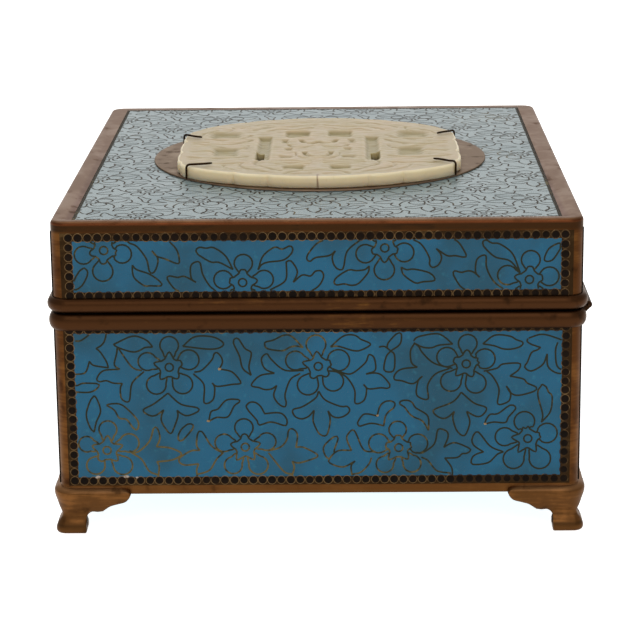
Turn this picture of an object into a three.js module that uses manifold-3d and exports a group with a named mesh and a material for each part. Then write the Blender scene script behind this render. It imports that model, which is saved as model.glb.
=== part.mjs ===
// Cloisonne enamel box: a hollow metal box on four bracket feet with a hinged lid.
// Every wall carries a flush enamel field between metal strips, and the lid carries a carved
// stone plaque on a round backing plate, held by four bent wires.
// Millimetres, +Z up. X runs along the box, Y from front to back, the hinge is at the back.
import * as THREE from 'three';
import { mergeVertices } from 'three/addons/utils/BufferGeometryUtils.js';
import Module from 'manifold-3d';

const wasm = await Module();
wasm.setup();

// ---- Driving dimensions -------------------------------------------------------------------
const LENGTH = 128;               // along X
const WIDTH = 102;                // along Y
const CORNER_RADIUS = 3.0;        // upright corners, in plan
const WALL = 2.2;                 // metal and enamel together
const FLOOR = 2.0;
const LID_TOP_THICKNESS = 2.2;
const CORNER_STEPS = 5;           // facets on each upright corner

const FOOT_HEIGHT = 7.9;          // floor to the underside of the box
const BASE_TOP = 44.55;           // mouth of the base
const SEAM_GAP = 0.3;             // running gap between base and lid
const LID_BOTTOM = BASE_TOP + SEAM_GAP;
const LID_TOP = 62.1;
const TOP_EDGE_ROUND = 0.4;       // softened upper edge of the lid
const SOLDER_GAP = 0.04;          // between pieces that are soldered together

const ENAMEL_DEPTH = 0.5;         // how deep the enamel fields are let in
const CORNER_STRIP = 2.05;        // bare metal at each upright corner
const BOTTOM_STRIP = 1.85;        // bare metal below the base's enamel
const TOP_STRIP = 1.65;           // bare metal above the lid's side enamel
const LID_FRAME = 4.0;            // bare metal round the lid's top field
const UNDERSIDE_FRAME = 5.0;
const BEHIND_RIM = 1.2;           // how far the enamel runs on behind a rim

const RIM_CAP = 1.0;              // thickness of a rim over the edge of the wall
const BASE_RIM_HEIGHT = 3.35;
const BASE_RIM_PROUD = 0.95;
const LID_RIM_HEIGHT = 2.85;
const LID_RIM_PROUD = 1.15;
const RIM_FACETS = 8;

const FOOT_ARM = 15.8;            // length of each arm of a bracket foot
const FOOT_PAD = 6.3;             // width of the pad that meets the floor
const FOOT_OVERLAP = 1.45;        // how far a foot stands up over the wall
const FOOT_THICKNESS = 2.7;       // of an arm, from its outer face
const FOOT_PROUD = 1.2;           // of an arm's outer face over the wall

const BARREL_RADIUS = 0.72;
const BARREL_BORE = 0.42;
const PIN_RADIUS = 0.35;
const HINGE_LENGTH = 120;
const KNUCKLES = 5;
const KNUCKLE_GAP = 0.25;
const HINGE_SIDES = 16;
const HINGE_Y = WIDTH / 2 + 1.4;
const HINGE_Z = (BASE_TOP + LID_BOTTOM) / 2;

const BACKING_RADIUS = 35.7;
const BACKING_THICKNESS = 0.4;
const PLAQUE_HALF_WIDTH = 29.9;   // along Y, to each straighter side
const PLAQUE_THICKNESS = 2.6;
const PLAQUE_EDGE_ROUND = 0.5;
const PLAQUE_CENTRE_X = 0.8;      // set a little off centre by hand
const STAPLE_RADIUS = 0.28;
const STAPLE_REACH = 5.4;         // over the top of the plaque
const STAPLE_GAP = 0.12;

// The row's origin is the middle of the whole box in plan, hinge included.
const ORIGIN_SHIFT_Y = -(HINGE_Y + BARREL_RADIUS - WIDTH / 2 - LID_RIM_PROUD) / 2;

// ---- Materials ----------------------------------------------------------------------------
const finish = (color, roughness, metalness) =>
  new THREE.MeshStandardMaterial({ color, roughness, metalness });

const PATINATED_BRASS = finish('#8a5f38', 0.45, 0.9);
const FOOT_BRASS = finish('#93683c', 0.5, 0.9);
const DARK_BRASS = finish('#4a3524', 0.5, 0.9);
const BACKING_METAL = finish('#84705f', 0.55, 0.8);
const BLUE_ENAMEL = finish('#3f93b8', 0.2, 0.0);
const PALE_JADE = finish('#d8cba6', 0.35, 0.0);

// ---- Solids -------------------------------------------------------------------------------
function toSolid(geometry) {
  const bare = geometry.clone();
  bare.deleteAttribute('normal');
  bare.deleteAttribute('uv');
  const merged = mergeVertices(bare, 1e-5);
  return new wasm.Manifold(new wasm.Mesh({
    numProp: 3,
    vertProperties: new Float32Array(merged.attributes.position.array),
    triVerts: new Uint32Array(merged.index.array),
  }));
}

function toGeometry(solid) {
  const mesh = solid.getMesh();
  const geometry = new THREE.BufferGeometry();
  geometry.setAttribute('position', new THREE.BufferAttribute(mesh.vertProperties, 3));
  geometry.setIndex(new THREE.BufferAttribute(mesh.triVerts, 1));
  geometry.computeVertexNormals();
  return geometry;
}

function block(low, high) {
  const size = high.map((value, i) => value - low[i]);
  const geometry = new THREE.BoxGeometry(...size);
  geometry.translate(...low.map((value, i) => value + size[i] / 2));
  return geometry;
}

// Skins a stack of rings that have the same number of points, each running counterclockwise
// seen from above. The lowest ring comes first. A flat cap closes each end.
function loft(rings) {
  const count = rings[0].length;
  const positions = rings.flat().flatMap((point) => point.toArray());
  const index = [];
  for (let level = 0; level + 1 < rings.length; level += 1) {
    for (let i = 0; i < count; i += 1) {
      const a = level * count + i;
      const b = level * count + (i + 1) % count;
      index.push(a, b, b + count, a, b + count, a + count);
    }
  }
  const top = (rings.length - 1) * count;
  for (let i = 1; i + 1 < count; i += 1) {
    index.push(0, i + 1, i, top, top + i, top + i + 1);
  }
  const geometry = new THREE.BufferGeometry();
  geometry.setAttribute('position', new THREE.Float32BufferAttribute(positions, 3));
  geometry.setIndex(index);
  return geometry;
}

// The box's plan outline, grown by `grow`, at height z.
function planRing(grow, z) {
  const ring = [];
  const quarter = Math.PI / 2;
  const radius = CORNER_RADIUS + grow;
  for (let corner = 0; corner < 4; corner += 1) {
    const alongX = corner === 0 || corner === 3 ? 1 : -1;
    const alongY = corner < 2 ? 1 : -1;
    for (let step = 0; step <= CORNER_STEPS; step += 1) {
      const angle = (corner + step / CORNER_STEPS) * quarter;
      ring.push(new THREE.Vector3(
        alongX * (LENGTH / 2 - CORNER_RADIUS) + radius * Math.cos(angle),
        alongY * (WIDTH / 2 - CORNER_RADIUS) + radius * Math.sin(angle),
        z,
      ));
    }
  }
  return ring;
}

const planPrism = (grow, low, high) => loft([planRing(grow, low), planRing(grow, high)]);

// Carries a closed section of [grow, z] pairs round the plan outline.
// The section runs counterclockwise when grow points right and z points up.
function planSweep(section) {
  const loops = section.map(([grow, z]) => planRing(grow, z));
  const count = loops[0].length;
  const positions = loops.flat().flatMap((point) => point.toArray());
  const index = [];
  loops.forEach((_, k) => {
    const next = (k + 1) % loops.length;
    for (let i = 0; i < count; i += 1) {
      const j = (i + 1) % count;
      const [a, b] = [k * count + i, k * count + j];
      const [c, d] = [next * count + j, next * count + i];
      index.push(a, b, c, a, c, d);
    }
  });
  const geometry = new THREE.BufferGeometry();
  geometry.setAttribute('position', new THREE.Float32BufferAttribute(positions, 3));
  geometry.setIndex(index);
  return geometry;
}

// ---- Enamel fields ------------------------------------------------------------------------
// Each side has a unit normal in plan. A field is the slice of the wall's outer layer between
// two corner strips and two heights.
const SIDES = {
  front: [0, -1],
  back: [0, 1],
  left: [-1, 0],
  right: [1, 0],
};

function fieldSolid([nx, ny], low, high) {
  const halfX = LENGTH / 2;
  const halfY = WIDTH / 2;
  const spanX = nx === 0 ? [CORNER_STRIP - halfX, halfX - CORNER_STRIP] : [
    Math.min(nx * (halfX - ENAMEL_DEPTH), nx * (halfX + 1)),
    Math.max(nx * (halfX - ENAMEL_DEPTH), nx * (halfX + 1)),
  ];
  const spanY = ny === 0 ? [CORNER_STRIP - halfY, halfY - CORNER_STRIP] : [
    Math.min(ny * (halfY - ENAMEL_DEPTH), ny * (halfY + 1)),
    Math.max(ny * (halfY - ENAMEL_DEPTH), ny * (halfY + 1)),
  ];
  const slab = toSolid(block([spanX[0], spanY[0], low], [spanX[1], spanY[1], high]));
  return slab.intersect(toSolid(planPrism(0, low - 1, high + 1)));
}

const BASE_FIELD = [FOOT_HEIGHT + BOTTOM_STRIP, BASE_TOP - BASE_RIM_HEIGHT + BEHIND_RIM];
const LID_FIELD = [LID_BOTTOM + LID_RIM_HEIGHT - BEHIND_RIM, LID_TOP - TOP_STRIP];

const baseFields = Object.fromEntries(
  Object.entries(SIDES).map(([side, normal]) => [side, fieldSolid(normal, ...BASE_FIELD)]),
);
const lidFields = Object.fromEntries(
  Object.entries(SIDES).map(([side, normal]) => [side, fieldSolid(normal, ...LID_FIELD)]),
);

function flatField(frame, low, high) {
  return toSolid(block(
    [frame - LENGTH / 2, frame - WIDTH / 2, low],
    [LENGTH / 2 - frame, WIDTH / 2 - frame, high],
  ));
}

const topField = flatField(LID_FRAME, LID_TOP - ENAMEL_DEPTH, LID_TOP);
const undersideField = flatField(UNDERSIDE_FRAME, FOOT_HEIGHT, FOOT_HEIGHT + ENAMEL_DEPTH);

// ---- Box and lid --------------------------------------------------------------------------
function baseBox() {
  const outside = toSolid(planPrism(0, FOOT_HEIGHT, BASE_TOP - RIM_CAP));
  const cavity = toSolid(planPrism(-WALL, FOOT_HEIGHT + FLOOR, BASE_TOP + 1));
  return Object.values(baseFields)
    .reduce((solid, field) => solid.subtract(field), outside.subtract(cavity))
    .subtract(undersideField);
}

function lidBox() {
  const edge = [0, 30, 60, 90].map((degrees) => THREE.MathUtils.degToRad(degrees));
  const outside = toSolid(loft([
    planRing(0, LID_BOTTOM + RIM_CAP),
    ...edge.map((angle) => planRing(
      TOP_EDGE_ROUND * (Math.cos(angle) - 1),
      LID_TOP + TOP_EDGE_ROUND * (Math.sin(angle) - 1),
    )),
  ]));
  const cavity = toSolid(planPrism(-WALL, LID_BOTTOM - 1, LID_TOP - LID_TOP_THICKNESS));
  return Object.values(lidFields)
    .reduce((solid, field) => solid.subtract(field), outside.subtract(cavity))
    .subtract(topField);
}

// A rim caps the wall's edge and swells outwards in a half round. `mouth` is the height of its
// flat face, and `up` is +1 where the rim stands above the seam, -1 where it hangs below it.
function rimSection(mouth, height, proud, up) {
  const middle = mouth + up * height / 2;
  const cap = mouth + up * (RIM_CAP - SOLDER_GAP);
  const section = [[-WALL, mouth]];
  for (let i = 0; i <= RIM_FACETS; i += 1) {
    const angle = Math.PI * (i / RIM_FACETS - 0.5);
    const grow = SOLDER_GAP + (proud - SOLDER_GAP) * Math.cos(angle);
    section.push([grow, middle + up * height / 2 * Math.sin(angle)]);
  }
  section.push([SOLDER_GAP, cap], [-WALL, cap]);
  return up > 0 ? section : section.reverse();
}

const baseRim = () => planSweep(rimSection(BASE_TOP, BASE_RIM_HEIGHT, BASE_RIM_PROUD, -1));
const lidRim = () => planSweep(rimSection(LID_BOTTOM, LID_RIM_HEIGHT, LID_RIM_PROUD, 1));

// ---- Bracket feet -------------------------------------------------------------------------
// The outer face of every foot is one ogee: [growth over the wall, height above the floor].
const footFace = new THREE.SplineCurve([
  new THREE.Vector2(0.75, 0),
  new THREE.Vector2(0.95, 0.9),
  new THREE.Vector2(0.3, 2.4),
  new THREE.Vector2(-0.35, 3.5),
  new THREE.Vector2(0.45, 5.3),
  new THREE.Vector2(FOOT_PROUD, 7.6),
  new THREE.Vector2(FOOT_PROUD - 0.1, FOOT_HEIGHT + FOOT_OVERLAP),
]);
const FOOT_LEVELS = 12;

// One arm seen square on: x runs along the wall from the corner, y is the height.
function footElevation() {
  const top = FOOT_HEIGHT + FOOT_OVERLAP;
  const shape = new THREE.Shape();
  shape.moveTo(-1, 0);
  shape.lineTo(FOOT_PAD, 0);
  shape.lineTo(FOOT_PAD, 0.5);
  shape.quadraticCurveTo(FOOT_PAD - 0.5, 3.2, FOOT_PAD + 1.2, 4.1);
  shape.lineTo(FOOT_PAD + 3.2, 4.2);
  shape.quadraticCurveTo(FOOT_PAD + 4.4, 5.9, FOOT_PAD + 6.4, 6.0);
  shape.quadraticCurveTo(FOOT_ARM - 1.2, 6.2, FOOT_ARM - 0.7, 7.4);
  shape.lineTo(FOOT_ARM, FOOT_HEIGHT + 0.2);
  shape.quadraticCurveTo(FOOT_ARM - 0.2, top, FOOT_ARM - 1.6, top);
  shape.lineTo(-1, top);
  return shape;
}

// Moves a geometry by a matrix and keeps its faces outwards when the matrix mirrors it.
function placed(geometry, matrix) {
  const moved = geometry.clone();
  moved.applyMatrix4(matrix);
  if (matrix.determinant() < 0) {
    const position = moved.attributes.position;
    for (let i = 0; i < position.count; i += 3) {
      const [second, third] = [i + 1, i + 2].map((k) => (
        new THREE.Vector3().fromBufferAttribute(position, k)));
      position.setXYZ(i + 1, ...third);
      position.setXYZ(i + 2, ...second);
    }
  }
  return moved;
}

function footArm(signX, signY, alongX, depth) {
  const arm = new THREE.ExtrudeGeometry(footElevation(), {
    depth: depth + 1, bevelEnabled: false, curveSegments: 4,
  });
  arm.translate(0, 0, -1);
  const cornerX = signX * (LENGTH / 2 + FOOT_PROUD);
  const cornerY = signY * (WIDTH / 2 + FOOT_PROUD);
  const inX = new THREE.Vector3(-signX, 0, 0);
  const inY = new THREE.Vector3(0, -signY, 0);
  const basis = new THREE.Matrix4().makeBasis(
    alongX ? inX : inY, new THREE.Vector3(0, 0, 1), alongX ? inY : inX,
  );
  return toSolid(placed(arm, basis.setPosition(cornerX, cornerY, 0)));
}

function foot(signX, signY) {
  const skin = toSolid(loft(
    footFace.getPoints(FOOT_LEVELS).map((point) => planRing(point.x, point.y)),
  ));
  const box = toSolid(planPrism(SOLDER_GAP, FOOT_HEIGHT - SOLDER_GAP, LID_BOTTOM));
  const post = footArm(signX, signY, true, FOOT_PAD)
    .intersect(footArm(signX, signY, false, FOOT_PAD));
  return footArm(signX, signY, true, FOOT_THICKNESS)
    .add(footArm(signX, signY, false, FOOT_THICKNESS))
    .add(post)
    .intersect(skin)
    .subtract(box);
}

// ---- Hinge --------------------------------------------------------------------------------
// Extrudes a shape drawn in [Y, Z] about the hinge axis from x = low to x = high.
function alongHinge(shape, low, high) {
  const geometry = new THREE.ExtrudeGeometry(shape, {
    depth: high - low, bevelEnabled: false, curveSegments: HINGE_SIDES,
  });
  const basis = new THREE.Matrix4().makeBasis(
    new THREE.Vector3(0, 1, 0), new THREE.Vector3(0, 0, 1), new THREE.Vector3(1, 0, 0),
  );
  return geometry.applyMatrix4(basis.setPosition(low, HINGE_Y, HINGE_Z));
}

function disc(radius) {
  return new THREE.Shape().absarc(0, 0, radius, 0, 2 * Math.PI, false);
}

// A barrel with a fillet of solder down to its own rim. The first barrel is the base's.
function knuckle(index) {
  const length = (HINGE_LENGTH - (KNUCKLES - 1) * KNUCKLE_GAP) / KNUCKLES;
  const low = index * (length + KNUCKLE_GAP) - HINGE_LENGTH / 2;
  const high = low + length;
  const up = index % 2 === 0 ? -1 : 1;
  const fillet = new THREE.Shape([
    [-1.0, 0.22], [0, 0], [0.34, 0.64], [-0.45, 1.4], [-1.0, 1.3],
  ].map(([y, z]) => new THREE.Vector2(y, up * z)));
  const rim = up > 0
    ? rimSection(LID_BOTTOM - SOLDER_GAP, LID_RIM_HEIGHT, LID_RIM_PROUD + SOLDER_GAP, 1)
    : rimSection(BASE_TOP + SOLDER_GAP, BASE_RIM_HEIGHT, BASE_RIM_PROUD + SOLDER_GAP, -1);
  return toSolid(alongHinge(disc(BARREL_RADIUS), low, high))
    .add(toSolid(alongHinge(fillet, low, high)))
    .subtract(toSolid(alongHinge(disc(BARREL_BORE), low - 1, high + 1)))
    .subtract(toSolid(planSweep(rim)));
}

// ---- Plaque -------------------------------------------------------------------------------
// The outline is two arches between two straighter sides, softened where they meet, and with
// small cusps between its lobes. Angles start at the right-hand end, in degrees.
const RIGHT_ARCH = { centre: -5.8, radius: 39.4 };
const LEFT_ARCH = { centre: 2.0, radius: 34.6 };
const CUSPS = [18, 31, 58, 76, 100, 124, 149, 162];
const CUSP_DEPTH = 0.55;
const CUSP_WIDTH = 2.6;
const SHOULDER_SHARPNESS = 24;
const OUTLINE_POINTS = 120;

function outlineRadius(angle) {
  const side = PLAQUE_HALF_WIDTH / Math.max(Math.abs(Math.sin(angle)), 0.05);
  const { centre, radius } = Math.cos(angle) > 0 ? RIGHT_ARCH : LEFT_ARCH;
  const arch = centre * Math.cos(angle)
    + Math.sqrt(radius ** 2 - (centre * Math.sin(angle)) ** 2);
  const round = (arch ** -SHOULDER_SHARPNESS + side ** -SHOULDER_SHARPNESS)
    ** (-1 / SHOULDER_SHARPNESS);
  const degrees = THREE.MathUtils.radToDeg(Math.abs(Math.atan2(Math.sin(angle), Math.cos(angle))));
  const cuts = CUSPS.map((cusp) => Math.exp(-Math.abs(degrees - cusp) / CUSP_WIDTH));
  return round - CUSP_DEPTH * Math.max(...cuts);
}

function plaqueRing(inset, z) {
  return Array.from({ length: OUTLINE_POINTS }, (_, i) => {
    const angle = 2 * Math.PI * i / OUTLINE_POINTS;
    const radius = outlineRadius(angle) - inset;
    return new THREE.Vector3(
      PLAQUE_CENTRE_X + radius * Math.cos(angle), radius * Math.sin(angle), z,
    );
  });
}

const PLAQUE_BOTTOM = LID_TOP + BACKING_THICKNESS + 2 * SOLDER_GAP;
const PLAQUE_TOP = PLAQUE_BOTTOM + PLAQUE_THICKNESS;

// Sunk windows of the carving, each with its mirror image across the box's length.
const SUNK_DEPTH = 1.1;
const WINDOWS = [
  { x: -13.2, y: 4.8, halfX: 3.8, halfY: 2.7 },
  { x: 23.2, y: 4.5, halfX: 2.8, halfY: 2.7 },
  { x: 1.5, y: 11.6, halfX: 13.5, halfY: 1.7 },
  { x: -12.8, y: 20.2, halfX: 4.2, halfY: 4.0 },
  { x: 7.4, y: 19.4, halfX: 5.2, halfY: 3.4 },
];
// Openings that go right through, in the floor of the long windows.
const SLOT = { x: 10.4, y: 12.2, halfX: 4.2, halfY: 0.9 };
const WINDOW_POINTS = 20;
// Curved grooves that cup the stem between the windows: centre, radius and half width.
const CUPS = [
  { x: -5.5, radius: 5.2, half: 0.55 },
  { x: 9.0, radius: 4.2, half: 0.55 },
];
const CROSS_GROOVE = { x: 18.2, halfX: 0.5, halfY: 12.5 };

function sunk(shape, depth) {
  const geometry = new THREE.ExtrudeGeometry(shape, {
    depth: depth + 1, bevelEnabled: false, curveSegments: WINDOW_POINTS / 2,
  });
  geometry.translate(PLAQUE_CENTRE_X, 0, PLAQUE_TOP - depth);
  return toSolid(geometry);
}

// A rounded rectangle that swells a little, as a carver's window does.
function windowShape({ x, y, halfX, halfY }, side) {
  const squareness = 0.55;
  const points = Array.from({ length: WINDOW_POINTS }, (_, i) => {
    const angle = 2 * Math.PI * i / WINDOW_POINTS;
    const [c, s] = [Math.cos(angle), Math.sin(angle)];
    return new THREE.Vector2(
      x + halfX * Math.sign(c) * Math.abs(c) ** squareness,
      side * y + halfY * Math.sign(s) * Math.abs(s) ** squareness,
    );
  });
  return new THREE.Shape(points);
}

function cupShape({ x, radius, half }) {
  const spread = Math.PI * 0.42;
  const shape = new THREE.Shape();
  shape.absarc(x, 0, radius + half, -spread, spread, false);
  shape.absarc(x, 0, radius - half, spread, -spread, true);
  return shape;
}

function plaque() {
  const edge = [0, 45, 90].map((degrees) => THREE.MathUtils.degToRad(degrees));
  let stone = toSolid(loft([
    plaqueRing(0, PLAQUE_BOTTOM),
    ...edge.map((angle) => plaqueRing(
      PLAQUE_EDGE_ROUND * (1 - Math.cos(angle)),
      PLAQUE_TOP - PLAQUE_EDGE_ROUND * (1 - Math.sin(angle)),
    )),
  ]));
  for (const side of [1, -1]) {
    for (const opening of WINDOWS) {
      stone = stone.subtract(sunk(windowShape(opening, side), SUNK_DEPTH));
    }
    stone = stone.subtract(sunk(windowShape(SLOT, side), PLAQUE_THICKNESS + 1));
  }
  for (const cup of CUPS) {
    stone = stone.subtract(sunk(cupShape(cup), SUNK_DEPTH / 2));
  }
  return stone.subtract(sunk(windowShape({ ...CROSS_GROOVE, y: 0 }, 1), SUNK_DEPTH / 2));
}

// A bent wire: up the plaque's edge from the backing plate, then over its top. The upper leg
// leans off the straight way in.
function staple({ degrees, lean }) {
  const angle = THREE.MathUtils.degToRad(degrees);
  const turned = THREE.MathUtils.degToRad(degrees + lean);
  const clear = STAPLE_RADIUS + STAPLE_GAP;
  const edge = outlineRadius(angle) + clear;
  const corner = new THREE.Vector3(
    PLAQUE_CENTRE_X + edge * Math.cos(angle), edge * Math.sin(angle), 0,
  );
  const inwards = new THREE.Vector3(-Math.cos(turned), -Math.sin(turned), 0);
  const at = (reach, z) => corner.clone().addScaledVector(inwards, reach).setZ(z);
  const foot = LID_TOP + BACKING_THICKNESS + 2 * SOLDER_GAP;
  const top = PLAQUE_TOP + clear;
  const bend = 0.6;
  const path = new THREE.CurvePath();
  path.add(new THREE.LineCurve3(at(0, foot), at(0, top - bend)));
  path.add(new THREE.QuadraticBezierCurve3(at(0, top - bend), at(0, top), at(bend, top)));
  path.add(new THREE.LineCurve3(at(bend, top), at(STAPLE_REACH, top)));
  const section = new THREE.Shape(Array.from({ length: 8 }, (_, i) => (
    new THREE.Vector2(0, STAPLE_RADIUS).rotateAround(new THREE.Vector2(), i * Math.PI / 4))));
  return new THREE.ExtrudeGeometry(section, { steps: 14, extrudePath: path, bevelEnabled: false });
}

// ---- Assembly -----------------------------------------------------------------------------
function piece(name, shape, material) {
  const geometry = shape instanceof THREE.BufferGeometry ? shape : toGeometry(shape);
  const mesh = new THREE.Mesh(geometry, material);
  mesh.name = name;
  return mesh;
}

function backingPlate() {
  const plate = new THREE.CylinderGeometry(
    BACKING_RADIUS, BACKING_RADIUS, BACKING_THICKNESS, 72,
  );
  plate.rotateX(Math.PI / 2);
  return plate.translate(0, 0, LID_TOP + SOLDER_GAP + BACKING_THICKNESS / 2);
}

const FEET = {
  foot_front_left: [-1, -1],
  foot_front_right: [1, -1],
  foot_back_left: [-1, 1],
  foot_back_right: [1, 1],
};
const STAPLES = {
  staple_right_front: { degrees: -50, lean: -25 },
  staple_right_back: { degrees: 50, lean: 2 },
  staple_left_back: { degrees: 115, lean: 18 },
  staple_left_front: { degrees: -110, lean: -21 },
};

const base = new THREE.Group();
base.add(piece('base_box', baseBox(), PATINATED_BRASS));
base.add(piece('base_rim', baseRim(), PATINATED_BRASS));
base.add(piece('base_enamel_underside', undersideField, BLUE_ENAMEL));

const lid = new THREE.Group();
lid.add(piece('lid_box', lidBox(), PATINATED_BRASS));
lid.add(piece('lid_rim', lidRim(), PATINATED_BRASS));
lid.add(piece('lid_enamel_top', topField, BLUE_ENAMEL));
lid.add(piece('plaque_backing', backingPlate(), BACKING_METAL));
lid.add(piece('carved_plaque', plaque(), PALE_JADE));

for (const side of Object.keys(SIDES)) {
  base.add(piece(`base_enamel_${side}`, baseFields[side], BLUE_ENAMEL));
  lid.add(piece(`lid_enamel_${side}`, lidFields[side], BLUE_ENAMEL));
}
for (const [name, signs] of Object.entries(FEET)) {
  base.add(piece(name, foot(...signs), FOOT_BRASS));
}
for (const [name, bend] of Object.entries(STAPLES)) {
  lid.add(piece(name, staple(bend), DARK_BRASS));
}
for (let index = 0; index < KNUCKLES; index += 1) {
  const body = index % 2 === 0 ? base : lid;
  body.add(piece(`hinge_knuckle_${index + 1}`, knuckle(index), DARK_BRASS));
}
base.add(piece(
  'hinge_pin', alongHinge(disc(PIN_RADIUS), -HINGE_LENGTH / 2 - 0.3, HINGE_LENGTH / 2 + 0.3),
  DARK_BRASS,
));

const box = new THREE.Group();
box.add(base, lid);
box.position.y = ORIGIN_SHIFT_Y;

export default box;
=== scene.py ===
"""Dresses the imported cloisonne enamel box.

A hollow brass case on four bracket feet, with a hinged lid. Flush wires draw flowers and leaves
in blue enamel on every wall and on the lid, rows of dark beads run along the borders, and a
carved stone plaque lies on a round plate in the middle of the lid.

Lengths inside the classes are millimetres in the box's own plan, with z measured from the floor.
"""

import logging
import math
from collections.abc import Iterable, Sequence
from dataclasses import dataclass, field
from enum import Enum

import bmesh
import bpy
import numpy as np
from mathutils import Matrix, Vector

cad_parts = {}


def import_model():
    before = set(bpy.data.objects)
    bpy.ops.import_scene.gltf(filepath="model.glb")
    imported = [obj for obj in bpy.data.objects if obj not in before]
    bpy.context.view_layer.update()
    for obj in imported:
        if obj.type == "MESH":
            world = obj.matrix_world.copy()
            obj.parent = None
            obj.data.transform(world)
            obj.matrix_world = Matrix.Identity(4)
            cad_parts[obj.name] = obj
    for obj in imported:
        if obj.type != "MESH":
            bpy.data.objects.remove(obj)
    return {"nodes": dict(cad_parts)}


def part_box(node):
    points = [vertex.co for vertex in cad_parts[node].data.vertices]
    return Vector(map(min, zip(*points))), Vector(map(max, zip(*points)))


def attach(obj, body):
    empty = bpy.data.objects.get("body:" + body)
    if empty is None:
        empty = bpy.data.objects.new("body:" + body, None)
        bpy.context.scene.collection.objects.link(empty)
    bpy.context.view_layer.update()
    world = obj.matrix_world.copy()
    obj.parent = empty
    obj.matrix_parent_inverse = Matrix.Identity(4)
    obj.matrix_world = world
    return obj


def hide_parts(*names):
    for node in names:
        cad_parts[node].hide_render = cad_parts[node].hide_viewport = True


log = logging.getLogger("cloisonne_box")

MM = 0.001
Pair = tuple[float, float]
Triple = tuple[float, float, float]
Colour = tuple[float, float, float, float]
Path2 = np.ndarray
Value = "float | Colour | Signal"
NodeValue = "float | bpy.types.NodeSocket"


def paint(code: str) -> Colour:
    """Turns a six-digit colour code into linear light.

    Args:
        code: The colour as six hexadecimal digits.

    Returns:
        Red, green, blue and an opaque alpha.
    """
    parts = [int(code[i : i + 2], 16) / 255 for i in (0, 2, 4)]
    linear = [c / 12.92 if c <= 0.04045 else ((c + 0.055) / 1.055) ** 2.4 for c in parts]
    return (linear[0], linear[1], linear[2], 1.0)


def smoothstep(low: float, high: float, value: np.ndarray) -> np.ndarray:
    """Rises from 0 at low to 1 at high with soft ends, for low above or below high."""
    t = np.clip((value - low) / (high - low), 0, 1)
    return t * t * (3 - 2 * t)


# ---- Shader work ----


class Signal:
    """A shader socket that takes part in arithmetic, each step adding a Math node."""

    def __init__(self, bench: "ShaderBench", socket: bpy.types.NodeSocket) -> None:
        """Keeps the socket and the bench that its material is built on."""
        self.bench = bench
        self.socket = socket

    def _math(self, operation: str, first: Value, second: Value) -> "Signal":
        """Adds one Math node.

        Args:
            operation: The node's operation.
            first: Its first value.
            second: Its second value.

        Returns:
            The node's result.
        """
        return self.bench.node("ShaderNodeMath", {"operation": operation}, {0: first, 1: second})

    def __add__(self, other: Value) -> "Signal":
        """Adds."""
        return self._math("ADD", self, other)

    def __sub__(self, other: Value) -> "Signal":
        """Subtracts."""
        return self._math("SUBTRACT", self, other)

    def __rsub__(self, other: Value) -> "Signal":
        """Subtracts this from the other."""
        return self._math("SUBTRACT", other, self)

    def __mul__(self, other: Value) -> "Signal":
        """Multiplies."""
        return self._math("MULTIPLY", self, other)

    def between(self, low: float, high: float) -> "Signal":
        """Rises softly from 0 at low to 1 at high, and falls where high is below low.

        Args:
            low: Where it is 0.
            high: Where it is 1.

        Returns:
            The risen value.
        """
        settings = {"interpolation_type": "SMOOTHSTEP"}
        if low > high:
            return 1 - self.between(high, low)
        return self.bench.node(
            "ShaderNodeMapRange", settings, {"Value": self, "From Min": low, "From Max": high}
        )


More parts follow.
